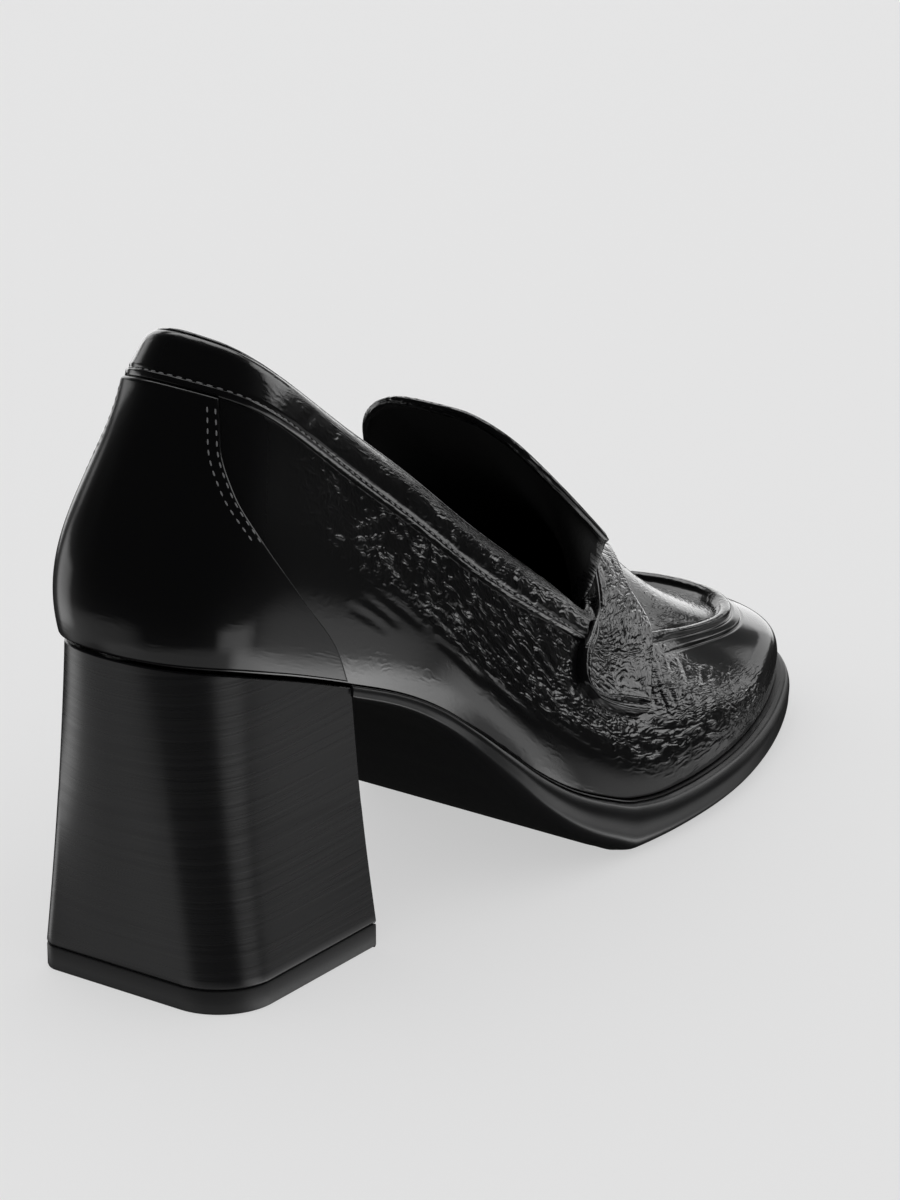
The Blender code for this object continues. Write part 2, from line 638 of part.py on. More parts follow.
def heel_rings():
    """Outline of the heel at its tread and at its top, with matching points."""
    turn = np.linspace(0.0, BREAST_TURN, HEEL_COLUMNS)
    rings = []
    for direction, radius in ((1.0, OUTER_CORNER_RADIUS), (-1.0, INNER_CORNER_RADIUS)):
        top = edge_ring(direction * turn, np.full(len(turn), HEEL_MARGIN))
        top[-1, 1] = along_y(LOWER_EDGE[int(BREAST_TURN)][1])
        steps = np.linalg.norm(np.diff(top, axis=0), axis=1)
        share = np.concatenate([[0.0], np.cumsum(steps)]) / steps.sum()
        tread = tread_path(share, radius) * np.array([direction, 1.0])
        rings.append((tread, top))
    tread = np.concatenate([rings[0][0], rings[1][0][::-1]])
    top = np.concatenate([rings[0][1], rings[1][1][::-1]])
    return tread, top


def make_heel_block(finish):
    """Block heel between the top lift and the seat, a little hollow at half its height."""
    tread, top = heel_rings()
    foot = LIFT_HEIGHT + GAP
    head = edge_height(top[:, 1]) - GAP
    levels = []
    for share in np.linspace(0.0, 1.0, HEEL_LEVELS):
        hollow = 1.0 - HEEL_WAIST / (0.5 * SEAT_WIDTH) * math.sin(math.pi * share)
        plan = (tread + (top - tread) * share) * np.array([hollow, 1.0])
        levels.append(np.column_stack([plan, foot + (head - foot) * share]))
    return loft("heel_block", np.stack(levels), finish)


def make_top_lift(finish):
    """Rubber plate under the heel block."""
    tread = heel_rings()[0]
    low = np.column_stack([tread, np.zeros(len(tread))])
    high = np.column_stack([tread, np.full(len(tread), LIFT_HEIGHT)])
    return loft("top_lift", np.stack([low, high]), finish)


def main():
    """Build the shoe."""
    clear_scene()
    patent = material("black_patent_leather", (0.004, 0.004, 0.005), 0.22, 1.0)
    lining = material("black_lining_leather", (0.006, 0.006, 0.006), 0.55, 0.0)
    sole = material("black_sole_rubber", (0.010, 0.010, 0.011), 0.38, 0.0)
    heel = material("black_heel_lacquer", (0.008, 0.008, 0.009), 0.25, 0.4)
    lift = material("black_lift_rubber", (0.016, 0.016, 0.017), 0.45, 0.0)
    make_upper(patent)
    make_counter(patent)
    make_collar_band(patent)
    make_strap(patent)
    make_tongue(lining)
    make_insole(lining)
    make_outsole(sole)
    make_heel_block(heel)
    make_top_lift(lift)


if __name__ == "__main__":
    main()
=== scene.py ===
"""Loafer pump, right shoe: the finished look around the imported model.

Frame: metres, +Z up, +Y to the toe, +X to the wearer's right, which is the outer side of this shoe.

Every leather piece is a patch of one surface, upper_point(turn, climb). The turn runs once round the
shoe, from the middle of the back (0) over the outer side to the toe (TOE_TURN) and home over the inner
side. The climb is 0 on the lower edge of the upper, 1 on its seam line (the lower edge of the collar
band behind, the moc seam in front) and 2 on the topline and the throat.
"""

import math

import bmesh
import bpy
import numpy as np
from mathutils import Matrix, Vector


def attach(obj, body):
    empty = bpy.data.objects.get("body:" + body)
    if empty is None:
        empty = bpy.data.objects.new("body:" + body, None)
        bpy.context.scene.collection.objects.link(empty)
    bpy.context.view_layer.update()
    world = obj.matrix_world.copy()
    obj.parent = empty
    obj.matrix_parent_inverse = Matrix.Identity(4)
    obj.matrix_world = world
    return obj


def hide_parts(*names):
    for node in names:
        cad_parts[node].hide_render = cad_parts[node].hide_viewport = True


bl_info = {
    "name": "Loafer pump",
    "version": (1, 0, 0),
    "blender": (4, 5, 0),
    "location": "View3D > Sidebar > Loafer pump",
    "description": "Makes a crinkled patent loafer pump with a block heel",
    "category": "Add Mesh",
}

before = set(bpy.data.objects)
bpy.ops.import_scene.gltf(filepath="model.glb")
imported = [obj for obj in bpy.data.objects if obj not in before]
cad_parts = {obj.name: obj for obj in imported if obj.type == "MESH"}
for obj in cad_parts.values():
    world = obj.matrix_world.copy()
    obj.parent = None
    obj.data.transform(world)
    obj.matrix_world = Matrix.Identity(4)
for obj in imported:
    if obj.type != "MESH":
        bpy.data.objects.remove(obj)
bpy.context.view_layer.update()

# Driving sizes of the last
SHOE_LENGTH = 0.2420        # back of the upper to the toe
BACK_OVERHANG = 0.0365      # back of the upper behind the centre of the heel's tread
SEAT_WIDTH = 0.0480         # lower edge of the upper, at the heel
BALL_WIDTH = 0.0770         # lower edge of the upper, at the ball
HEEL_HEIGHT = 0.0810        # floor to the lower edge of the upper, at the back
FOREPART_HEIGHT = 0.0108    # floor to the lower edge of the upper, at the ball
TOE_SPRING = 0.0042         # rise of the tread at the toe
COLLAR_RISE = 0.0708        # topline above the lower edge, at the back
INSTEP_RISE = 0.0608        # throat above the lower edge, in the middle
TOE_RISE = 0.0172           # moc seam above the lower edge, at the toe

# Leather
WALL = 0.0018               # upper, leather and lining
BAND_WIDTH = 0.0112         # collar band, measured down the wall
BAND_THICKNESS = 0.0014
COUNTER_THICKNESS = 0.0010
STRAP_THICKNESS = 0.0016
STRAP_LIFT = 0.0009         # front edge of the strap, raised to pass over the moc seam
TONGUE_THICKNESS = 0.0020
TONGUE_LENGTH = 0.0498      # throat to the top of the tongue, in the middle
TONGUE_TUCK = 0.0080        # tongue under the vamp
TONGUE_CLEARANCE = 0.0008   # between the tongue and the vamp's lining
SEAM_WIDTH = 0.0048         # rolled rim of the moc seam
SEAM_HEIGHT = 0.0018
APRON_SINK = 0.0008
INSOLE_THICKNESS = 0.0025

# Sole and heel
SOLE_MARGIN = 0.0012        # top of the sole outside the upper, at the forefoot
SOLE_BULGE = 0.0034         # widest line of the sole outside the upper, at the forefoot
SOLE_EDGE_RADIUS = 0.0062   # rounding between the side and the tread
HEEL_FLARE = 0.0050         # how much wider the heel's tread is than the seat
HEEL_TREAD_LENGTH = 0.0510
OUTER_CORNER_RADIUS = 0.0140  # of the heel's tread, at its back
INNER_CORNER_RADIUS = 0.0045
HEEL_WAIST = 0.0006         # hollow of the heel block's sides
HEEL_MARGIN = 0.0004        # heel block outside the upper, at its top
LIFT_HEIGHT = 0.0056
GAP = 0.0003                # between pieces that touch

# Shares and counts of the form
WAIST_SPAN = (0.30, 0.56)   # where the tables' breadth grows from the seat's to the ball's
WALL_START = 0.40           # length of the wall's handles, as shares of its height
WALL_END = 0.38
BREAST_TURN = 4.0           # station of the heel breast
BAND_END = (8.22, 8.84)     # turns where the collar band is cut off, on its lower and its upper edge
SOLE_THIN = 0.0040          # sole thickness at which its side starts to swell
SOLE_FULL = 0.0095          # sole thickness at which its side is fully swollen
SOLE_LEAN = 0.25            # swell that is left where the sole is thin
EDGE_LIMIT = 0.6            # largest rounding of the sole's edge, as a share of its thickness
TONGUE_HALF_TURN = 4.60     # half width of the tongue, in turns
TONGUE_PITCH = 44.5         # slope of the instep, in degrees
TONGUE_ARCH = 0.97          # how much shorter the tongue is at its sides
TONGUE_SQUARE = 4.6         # how square its top is
TONGUE_FLATTEN = 0.78       # how much of its arch the tongue has lost at its top
TONGUE_SPREAD = 0.12        # how much wider than the throat it is at its top
TONGUE_SHIFT = 0.0013       # how far its top leans to the outer side
RIM_FADE = (0.725, 0.778)   # turn from the back, as a share, where the moc seam rises under the strap
SINK_FADE = (0.35, 0.75)    # share of the apron over which it rises back to the throat
TURN_STEP = 0.03            # steps that directions on the surface are measured over
CLIMB_STEP = 0.02
STATIONS = 14               # from the back to the toe, on one side
TOE_TURN = float(STATIONS)
FULL_TURN = 2.0 * STATIONS
COUNTER_FOOT = 0.010        # climb of the counter's lower and upper edge
COUNTER_HEAD = 0.999
HEEL_COLUMNS = 150
MERGE = 0.000001            # points closer than this become one
SMOOTH_ANGLE = math.radians(38.0)  # edges sharper than this stay sharp

# Side of the sole: how far out as a share of its swell, how far down, and how much of the edge's
# rounding is taken off.
SOLE_ROWS = (
    # outwards, down, rounding
    (0.00, 0.00, 0.00),
    (0.62, 0.12, 0.00),
    (1.00, 0.38, 0.00),
    (0.92, 0.66, 0.00),
    (0.92, 0.90, 0.32),
    (0.92, 1.00, 1.00),
)

# Height of the lower edge and of the tread. The columns are the place along the shoe as a share of its
# length, the lower edge as a share of the heel's lift over the forepart, the tread as a share of that
# lift, and the share of the toe spring.
PROFILE = (
    # along, edge, tread, spring
    (0.000, 1.006, 1.110, 0.00),
    (0.070, 0.950, 1.054, 0.00),
    (0.126, 0.886, 0.988, 0.00),
    (0.193, 0.798, 0.899, 0.00),
    (0.234, 0.740, 0.840, 0.00),
    (0.316, 0.616, 0.708, 0.00),
    (0.358, 0.530, 0.606, 0.00),
    (0.387, 0.448, 0.506, 0.00),
    (0.419, 0.343, 0.372, 0.00),
    (0.452, 0.240, 0.240, 0.00),
    (0.490, 0.150, 0.132, 0.00),
    (0.531, 0.083, 0.052, 0.00),
    (0.570, 0.034, 0.000, 0.00),
    (0.624, 0.006, 0.000, 0.00),
    (0.686, 0.000, 0.000, 0.00),
    (0.840, 0.000, 0.000, 0.00),
    (0.930, 0.000, 0.000, 0.38),
    (1.020, 0.000, 0.000, 1.00),
)

# Lower edge of the upper in plan, from the back to the toe. Widths are shares of the local breadth.
# Lean is how far the wall starts outwards, and pitch how steeply it reaches the seam line.
LOWER_EDGE = (
    # station, along, outer, inner, lean, pitch
    ("back", 0.019, 0.000, 0.000, 0.26, 78.0),
    ("back corner", 0.034, 0.295, 0.275, 0.26, 78.0),
    ("heel corner", 0.078, 0.462, 0.435, 0.24, 79.0),
    ("heel side", 0.142, 0.500, 0.480, 0.22, 80.0),
    ("breast", 0.234, 0.496, 0.486, 0.24, 80.0),
    ("rear waist", 0.316, 0.513, 0.466, 0.24, 80.0),
    ("waist", 0.387, 0.524, 0.416, 0.22, 79.0),
    ("front waist", 0.452, 0.540, 0.395, 0.16, 78.0),
    ("joint", 0.531, 0.538, 0.402, 0.10, 76.0),
    ("ball", 0.624, 0.560, 0.428, 0.08, 70.0),
    ("forepart", 0.735, 0.539, 0.442, 0.08, 60.0),
    ("toe side", 0.842, 0.448, 0.409, 0.10, 48.0),
    ("toe corner", 0.934, 0.318, 0.325, 0.14, 38.0),
    ("toe front", 0.979, 0.170, 0.190, 0.16, 32.0),
    ("toe", 0.992, 0.000, 0.000, 0.16, 30.0),
)

# Topline from the back to the strap. Rise is a share of COLLAR_RISE above the lower edge, and band of
# BAND_WIDTH. Flare is how far the seam line stands out below the topline, in band widths, and dip how
# much flatter than the straight line the band starts, in degrees.
COLLAR_LINE = (
    # station, along, outer, inner, rise, band, flare, dip
    ("back", 0.126, 0.000, 0.000, 1.000, 0.84, 0.38, 26.0),
    ("back corner", 0.131, 0.120, 0.120, 0.994, 0.86, 0.36, 26.0),
    ("heel corner", 0.149, 0.240, 0.235, 0.975, 0.93, 0.30, 22.0),
    ("heel side", 0.192, 0.322, 0.317, 0.915, 0.98, 0.20, 12.0),
    ("breast", 0.264, 0.369, 0.365, 0.810, 1.00, 0.14, 4.0),
    ("rear waist", 0.338, 0.421, 0.410, 0.722, 1.00, 0.13, 0.0),
    ("waist", 0.404, 0.407, 0.390, 0.702, 1.00, 0.13, 0.0),
    ("front waist", 0.465, 0.378, 0.370, 0.717, 1.00, 0.13, 0.0),
    ("joint", 0.526, 0.354, 0.360, 0.671, 1.00, 0.13, 0.0),
)

# Throat under the strap. Rise is a share of INSTEP_RISE. Dip is how far the apron starts flatter than
# the straight line from the seam to the throat, in degrees.
THROAT_LINE = (
    # station, along, outer, inner, rise, dip
    ("ball", 0.580, 0.357, 0.372, 0.683, 0.0),
    ("forepart", 0.607, 0.305, 0.335, 0.745, 0.0),
    ("toe side", 0.628, 0.240, 0.275, 0.852, 6.0),
    ("toe corner", 0.642, 0.143, 0.190, 0.954, 13.0),
    ("toe front", 0.647, 0.058, 0.108, 0.993, 19.0),
    ("toe", 0.649, -0.025, 0.000, 1.000, 21.0),
)

# Moc seam from under the strap to the toe. Rise is a share of TOE_RISE above the lower edge.
RIM_LINE = (
    # station, along, outer, inner, rise
    ("ball", 0.589, 0.403, 0.370, 1.900),
    ("forepart", 0.655, 0.403, 0.365, 1.760),
    ("toe side", 0.742, 0.338, 0.330, 1.440),
    ("toe corner", 0.838, 0.306, 0.306, 1.200),
    ("toe front", 0.903, 0.190, 0.200, 1.050),
    ("toe", 0.924, 0.000, 0.000, 1.000),
)

# Edges of the saddle strap, from its outer end to the crown, as turns and climbs of the upper's surface.
STRAP_EDGES = (
    # place, rear turn, rear climb, front turn, front climb
    ("tip", 8.15, 0.62, 9.02, 0.54),
    ("end", 7.97, 0.74, 9.20, 0.60),
    ("side", 8.17, 0.92, 9.62, 0.80),
    ("seam", 8.45, 1.10, 10.35, 1.12),
    ("corner", 8.80, 1.66, 10.75, 1.36),
    ("shoulder", 10.05, 1.99, 11.10, 1.62),
    ("crown side", 12.00, 2.01, 12.25, 1.72),
    ("crown", 14.00, 2.02, 14.00, 1.74),
)

# Front edge of the counter, as turns at equal steps of climb from the sole to the collar band.
COUNTER_EDGE = (3.95, 3.62, 2.98, 2.24, 1.70, 1.45, 1.42)

# Fine forms of the leather
SECOND_STEP = 0.0005        # low step on the wall, below the moc seam
STEP_WIDTH = 0.0030
STEP_SLOPE = 0.0006         # its slanting borders
GROOVE_DEPTH = 0.0004       # stitched grooves on both sides of that step
GROOVE_WIDTH = 0.0012
GROOVE_PLACE = 0.0002       # their middles, below the seam and below the step
ROLL_SHARE = 0.90           # share of the rim's width that is rolled
RIM_GROOVE = 0.0008         # groove between the rim and the apron
STRAP_BEAD = 0.0010         # radius of the rolled bead on the strap's edge
BEAD_RISE = 0.8             # its height, as a share of the radius
SOLE_GROOVE = 0.0010        # groove round the sole, just below the upper
STRAP_GAP = 0.02            # turns between the strap's rear edge and the collar band's end
PANEL_SINK = 0.0004         # backs of the counter and the collar band, below the upper's surface
STRAP_SINK = 0.0003         # back of the strap
CUT_EDGE = 0.0009           # rounding of a cut leather edge
HEEL_EDGE = 0.0005          # softened edges of the heel block
THREAD_SINK = 0.0001        # stitches, below the surface that they lie on
SMOOTH_CRINKLE = 0.03       # crinkle of the smooth parts, where 1 is full
APRON_CRINKLE = 0.34
CRINKLE_BEHIND = (2.6, 4.6)  # turns over which the crinkle grows, from the smooth heel
CRINKLE_BEFORE = (10.8, 11.9)  # turns over which it ends, before the toe
CRINKLE_LOW = (0.46, 0.70)  # climbs over which it grows, above the smooth lower wall
CREASE_POINTS = 15          # points of a crease's line
CREASE_REACH = 3.0          # widths from its line at which a crease has ended
INNER_SHIFT = 0.07          # turns that the inner side's creases are moved by
INNER_DEPTH = 0.9           # their depth, as a share of the outer side's
BAND_CREASE_DEPTH = 0.6     # depth of the band's creases, as a share of their table's
CHANNEL_DEPTH = 0.0005      # stitched channel of the collar band
CHANNEL_PLACE = 0.0017      # its middle, above the band's lower edge
CHANNEL_WIDTH = 0.0012
CHANNEL_THREAD = 0.0016     # its stitches, above that edge
BRIDGE_PASSES = 90          # times that the strap's rows are evened over the fold of the wall

# Grid of the upper: climbs of the wall's rows, with more rows where the form is fine, and of the lining's.
UPPER_COLUMNS = 672
WALL_ROWS = np.concatenate([[0.0, 0.004], np.linspace(0.012, 0.80, 38), np.linspace(0.815, 0.995, 19)])
LINING_ROWS = np.linspace(0.96, 0.0, 22)

# Stage
SHOE_MIDDLE = (0.0, 0.085, 0.06)
SIDE_BORDERS = 2.5          # how much wider a light's side borders are than its upper and lower ones

# Soft boxes of the reflection tent, as seen from the shoe. Azimuth 0 is beyond the toe and 90 on the outer
# side. Angles are in degrees, and the strength is the light's brightness.
LIGHT_BOXES = (
    # name, azimuth, half width, low, high, border, strength
    ("sheet round the shoe", 120.0, 104.0, -50.0, -33.0, 4.0, 0.60),
    ("sheet on the outer side", 56.0, 26.0, -48.0, -33.0, 4.0, 1.90),
    ("far sheet on the outer side", 34.0, 26.0, -34.0, -18.0, 5.0, 0.42),
    ("sheet beside the arch", 84.0, 13.0, -33.0, -21.0, 4.0, 1.50),
    ("box beyond the toe", -38.0, 27.0, -13.0, 22.0, 2.0, 1.40),
    ("low box before the toe", 1.0, 12.0, -8.0, 7.0, 1.5, 0.80),
    ("box beyond the outer side", 29.0, 15.0, 7.0, 32.0, 3.0, 2.20),
    ("strip on the inner side", -95.0, 12.0, -26.0, 0.0, 3.0, 1.20),
    ("strip above it", -74.0, 8.0, 2.0, 16.0, 3.0, 0.80),
    ("sheet behind the heel", -130.0, 38.0, -35.0, -18.0, 5.0, 0.45),
    ("high box", -27.0, 42.0, 36.0, 74.0, 4.0, 2.60),
)

# Camera
CAMERA_PLACE = (0.6637, -0.8257, 0.4816)
CAMERA_TARGET = (0.004, 0.084, 0.058)

# Creases of the upper: from one end to the other, bow between them, width and depth in metres.
WALL_CREASES = (
    # turn, climb, turn, climb, bow, width, depth
    (9.30, 0.52, 9.75, 0.86, 0.02, 0.0010, 0.00035),
    (9.38, 0.46, 9.98, 0.90, 0.03, 0.0011, 0.00040),
    (9.48, 0.40, 10.20, 0.90, 0.04, 0.0012, 0.00040),
    (9.55, 0.33, 10.42, 0.88, 0.05, 0.0012, 0.00038),
    (9.62, 0.27, 10.62, 0.82, 0.05, 0.0012, 0.00032),
    (9.66, 0.20, 10.74, 0.70, 0.05, 0.0012, 0.00026),
    (9.05, 0.44, 9.60, 0.32, -0.02, 0.0011, 0.00030),
    (8.80, 0.40, 9.50, 0.24, -0.02, 0.0011, 0.00028),
    (8.45, 0.40, 9.20, 0.20, -0.02, 0.0012, 0.00026),
    (7.60, 0.80, 7.95, 0.62, -0.01, 0.0011, 0.00030),
    (7.30, 0.86, 7.80, 0.60, -0.01, 0.0011, 0.00032),
    (7.00, 0.84, 7.70, 0.54, -0.02, 0.0012, 0.00034),
    (6.70, 0.80, 7.75, 0.46, -0.02, 0.0012, 0.00034),
    (6.30, 0.78, 7.20, 0.56, -0.02, 0.0012, 0.00034),
    (6.10, 0.70, 7.10, 0.48, -0.02, 0.0012, 0.00034),
    (5.80, 0.64, 6.90, 0.44, -0.02, 0.0012, 0.00032),
    (5.50, 0.72, 6.20, 0.62, 0.01, 0.0011, 0.00028),
    (5.20, 0.62, 6.10, 0.50, 0.01, 0.0011, 0.00028),
    (5.00, 0.54, 5.90, 0.42, 0.01, 0.0011, 0.00028),
    (4.60, 0.58, 5.30, 0.50, 0.01, 0.0010, 0.00024),
    (4.30, 0.50, 5.10, 0.42, 0.01, 0.0010, 0.00024),
    (4.00, 0.44, 4.70, 0.36, 0.01, 0.0010, 0.00022),
    (3.80, 0.36, 4.50, 0.30, 0.01, 0.0010, 0.00020),
    (5.30, 0.40, 6.20, 0.32, 0.01, 0.0011, 0.00024),
    (6.10, 0.38, 7.10, 0.28, 0.01, 0.0011, 0.00024),
    (7.00, 0.36, 8.00, 0.24, 0.01, 0.0011, 0.00024),
)

# Creases of the counter.
COUNTER_CREASES = (
    # turn, climb, turn, climb, bow, width, depth
    (0.35, 0.30, 0.60, 0.80, 0.00, 0.0030, 0.00010),
)

# Creases of the collar band.
BAND_CREASES = (
    # turn, climb, turn, climb, bow, width, depth
    (3.10, 1.20, 3.35, 1.75, 0.00, 0.0012, 0.00035),
    (3.55, 1.25, 3.75, 1.80, 0.00, 0.0012, 0.00035),
    (4.30, 1.30, 4.45, 1.80, 0.00, 0.0012, 0.00035),
    (4.75, 1.20, 4.85, 1.75, 0.00, 0.0012, 0.00035),
    (5.25, 1.25, 5.45, 1.80, 0.00, 0.0012, 0.00035),
    (5.80, 1.20, 5.95, 1.80, 0.00, 0.0012, 0.00035),
    (6.35, 1.25, 6.45, 1.80, 0.00, 0.0012, 0.00035),
    (6.80, 1.20, 6.95, 1.80, 0.00, 0.0011, 0.00038),
    (7.20, 1.20, 7.30, 1.85, 0.00, 0.0011, 0.00040),
    (7.50, 1.20, 7.62, 1.85, 0.00, 0.0010, 0.00040),
    (7.78, 1.20, 7.90, 1.85, 0.00, 0.0010, 0.00040),
    (8.02, 1.20, 8.16, 1.85, 0.00, 0.0010, 0.00040),
)

# Creases of the strap.
STRAP_CREASES = (
    # turn, climb, turn, climb, bow, width, depth
    (8.75, 0.72, 9.02, 1.30, 0.02, 0.0010, 0.00040),
    (8.90, 0.70, 9.20, 1.40, -0.02, 0.0011, 0.00042),
    (9.10, 0.72, 9.38, 1.30, 0.02, 0.0010, 0.00040),
    (9.30, 0.76, 9.70, 1.40, -0.02, 0.0010, 0.00040),
    (9.10, 1.20, 9.55, 1.70, 0.02, 0.0011, 0.00042),
    (9.45, 1.10, 10.00, 1.66, -0.02, 0.0011, 0.00042),
    (9.80, 1.10, 10.40, 1.56, 0.02, 0.0011, 0.00042),
    (9.90, 1.66, 10.80, 1.86, 0.01, 0.0012, 0.00036),
    (10.40, 1.62, 11.40, 1.80, -0.01, 0.0012, 0.00034),
    (11.10, 1.84, 12.20, 1.92, 0.01, 0.0012, 0.00028),
    (11.60, 1.76, 12.90, 1.84, 0.01, 0.0012, 0.00026),
)


def column(table, index):
    """One column of a table as an array."""
    return np.array([row[index] for row in table])


def ease(value, low, high):
    """Smooth step from 0 at low to 1 at high."""
    share = np.clip((value - low) / (high - low), 0.0, 1.0)
    return share * share * (3.0 - 2.0 * share)


def monotone(x, xs, ys):
    """Monotone cubic through the points xs, ys: flat stretches stay flat, and nothing overshoots."""
    step = np.diff(xs)
    slope = np.diff(ys) / step
    same = slope[:-1] * slope[1:] > 0.0
    weight_a = 2.0 * step[1:] + step[:-1]
    weight_b = step[1:] + 2.0 * step[:-1]
    safe_a = np.where(same, slope[:-1], 1.0)
    safe_b = np.where(same, slope[1:], 1.0)
    mean = (weight_a + weight_b) / (weight_a / safe_a + weight_b / safe_b)
    tangent = np.concatenate([slope[:1], np.where(same, mean, 0.0), slope[-1:]])
    span = np.clip(np.searchsorted(xs, x) - 1, 0, len(step) - 1)
    share = np.clip((x - xs[span]) / step[span], 0.0, 1.0)
    square = share * share
    cube = square * share
    return ((2.0 * cube - 3.0 * square + 1.0) * ys[span]
            + (cube - 2.0 * square + share) * step[span] * tangent[span]
            + (3.0 * square - 2.0 * cube) * ys[span + 1]
            + (cube - square) * step[span] * tangent[span + 1])


def closed_spline(knots, turn):
    """Smooth closed curve through the knots, one for each whole turn, read at the given turns."""
    count = len(knots)
    rows = np.arange(count)
    matrix = np.zeros((count, count))
    matrix[rows, rows] = 4.0
    matrix[rows, (rows + 1) % count] = 1.0
    matrix[rows, (rows - 1) % count] = 1.0
    ahead = np.roll(knots, -1, axis=0)
    behind = np.roll(knots, 1, axis=0)
    bend = np.linalg.solve(matrix, 6.0 * (ahead - 2.0 * knots + behind))
    place = np.mod(turn, count)
    start = np.minimum(np.floor(place).astype(int), count - 1)
    end = (start + 1) % count
    share = (place - start)[..., None]
    rest = 1.0 - share
    return (rest * knots[start] + share * knots[end]
            + ((rest ** 3 - rest) * bend[start] + (share ** 3 - share) * bend[end]) / 6.0)


def bezier(start, first, second, end, share):
    """Cubic curve between start and end, with its two handles."""
    rest = 1.0 - share
    return (rest ** 3 * start + 3.0 * rest ** 2 * share * first
            + 3.0 * rest * share ** 2 * second + share ** 3 * end)


def along_y(along):
    """Place along the shoe, from its share of the length."""
    return along * SHOE_LENGTH - BACK_OVERHANG


def breadth(along):
    """Local width that the tables' widths are shares of: the seat's behind and the ball's in front."""
    return SEAT_WIDTH + (BALL_WIDTH - SEAT_WIDTH) * ease(along, *WAIST_SPAN)


def profile(y, index):
    """One column of the profile at a place along the shoe."""
    along = (y + BACK_OVERHANG) / SHOE_LENGTH
    return monotone(along, column(PROFILE, 0), column(PROFILE, index))


def edge_height(y):
    """Height of the upper's lower edge."""
    lift = HEEL_HEIGHT - FOREPART_HEIGHT
    return FOREPART_HEIGHT + profile(y, 1) * lift + profile(y, 3) * TOE_SPRING


def tread_height(y):
    """Height of the sole's underside."""
    lift = HEEL_HEIGHT - FOREPART_HEIGHT
    return profile(y, 2) * lift + profile(y, 3) * TOE_SPRING


def ring(values):
    """Values of the stations from the back to the toe, and home over the inner side."""
    return np.concatenate([values, values[-2:0:-1]])


def ring_plan(rows):
    """Knots in plan once round the shoe, from rows of station, along, outer width and inner width."""
    along = column(rows, 1)
    width = breadth(along)
    outer = column(rows, 2) * width
    inner = -column(rows, 3) * width
    x = np.concatenate([outer, inner[-2:0:-1]])
    return np.stack([x, ring(along_y(along))], axis=1)


def raised(plan, rise):
    """Knots in plan, lifted above the lower edge of the upper by their rise."""
    return np.column_stack([plan, edge_height(plan[:, 1]) + rise])


def last_knots():
    """Knots of the lower edge, the seam line and the topline."""
    edge = raised(ring_plan(LOWER_EDGE), 0.0)
    collar_rise = column(COLLAR_LINE, 4) * COLLAR_RISE
    throat_rise = column(THROAT_LINE, 4) * INSTEP_RISE
    top = raised(ring_plan(COLLAR_LINE + THROAT_LINE), ring(np.concatenate([collar_rise, throat_rise])))
    down = edge - top
    down /= np.linalg.norm(down, axis=1)[:, None]
    behind = len(COLLAR_LINE)
    in_front = np.zeros(len(THROAT_LINE))
    width = BAND_WIDTH * ring(np.concatenate([column(COLLAR_LINE, 5), in_front]))
    flare = ring(np.concatenate([column(COLLAR_LINE, 6), in_front]))
    band = top + width[:, None] * (down + flare[:, None] * outward(np.arange(FULL_TURN)))
    rim_rise = np.concatenate([collar_rise, column(RIM_LINE, 4) * TOE_RISE])
    rim = raised(ring_plan(COLLAR_LINE + RIM_LINE), ring(rim_rise))
    seam = np.where(ring(np.arange(STATIONS + 1) >= behind)[:, None], rim, band)
    return edge, seam, top


def outward(turn):
    """Outward direction of the lower edge in plan."""
    plan = ring_plan(LOWER_EDGE)
    ahead = closed_spline(plan, turn + TURN_STEP) - closed_spline(plan, turn - TURN_STEP)
    across = np.stack([ahead[..., 1], -ahead[..., 0], np.zeros(ahead.shape[:-1])], axis=-1)
    return across / np.linalg.norm(across, axis=-1)[..., None]


def station_value(values, turn):
    """A station's value, smoothly between the stations."""
    return closed_spline(ring(values)[:, None], turn)


def upper_point(turn, climb):
    """Outer surface of the upper: a curve with two handles from the lower edge to the seam line, and a
    second one from there to the topline, on which the apron starts flatter than it ends."""
    turn, climb = np.broadcast_arrays(np.asarray(turn, float), np.asarray(climb, float))
    edge_knots, seam_knots, top_knots = last_knots()
    edge = closed_spline(edge_knots, turn)
    edge[..., 2] = edge_height(edge[..., 1])
    seam = closed_spline(seam_knots, turn)
    top = closed_spline(top_knots, turn)
    up = np.array([0.0, 0.0, 1.0])
    out = outward(turn)
    lean = station_value(column(LOWER_EDGE, 4), turn)
    pitch = np.radians(station_value(column(LOWER_EDGE, 5), turn))
    reach = np.linalg.norm(seam - edge, axis=-1)[..., None]
    first = edge + WALL_START * reach * (up + lean * out)
    second = seam - WALL_END * reach * (np.sin(pitch) * up - np.cos(pitch) * out)
    share = np.clip(climb, 0.0, 1.0)[..., None]
    wall = bezier(edge, first, second, seam, share)
    dips = np.concatenate([column(COLLAR_LINE, 7), column(THROAT_LINE, 5)])
    dip = np.radians(station_value(dips, turn))
    chord = top - seam
    flat = chord * np.array([1.0, 1.0, 0.0])
    run = np.linalg.norm(flat, axis=-1)[..., None]
    slope = np.arctan2(chord[..., 2:3], run)
    third = np.linalg.norm(chord, axis=-1)[..., None] / 3.0
    leave = flat / run * np.cos(slope - dip) + up * np.sin(slope - dip)
    arrive = flat / run * np.cos(slope + dip / 3.0) + up * np.sin(slope + dip / 3.0)
    share = np.maximum(climb - 1.0, 0.0)[..., None]
    crown = bezier(seam, seam + third * leave, top - third * arrive, top, share)
    return np.where(climb[..., None] <= 1.0, wall, crown)


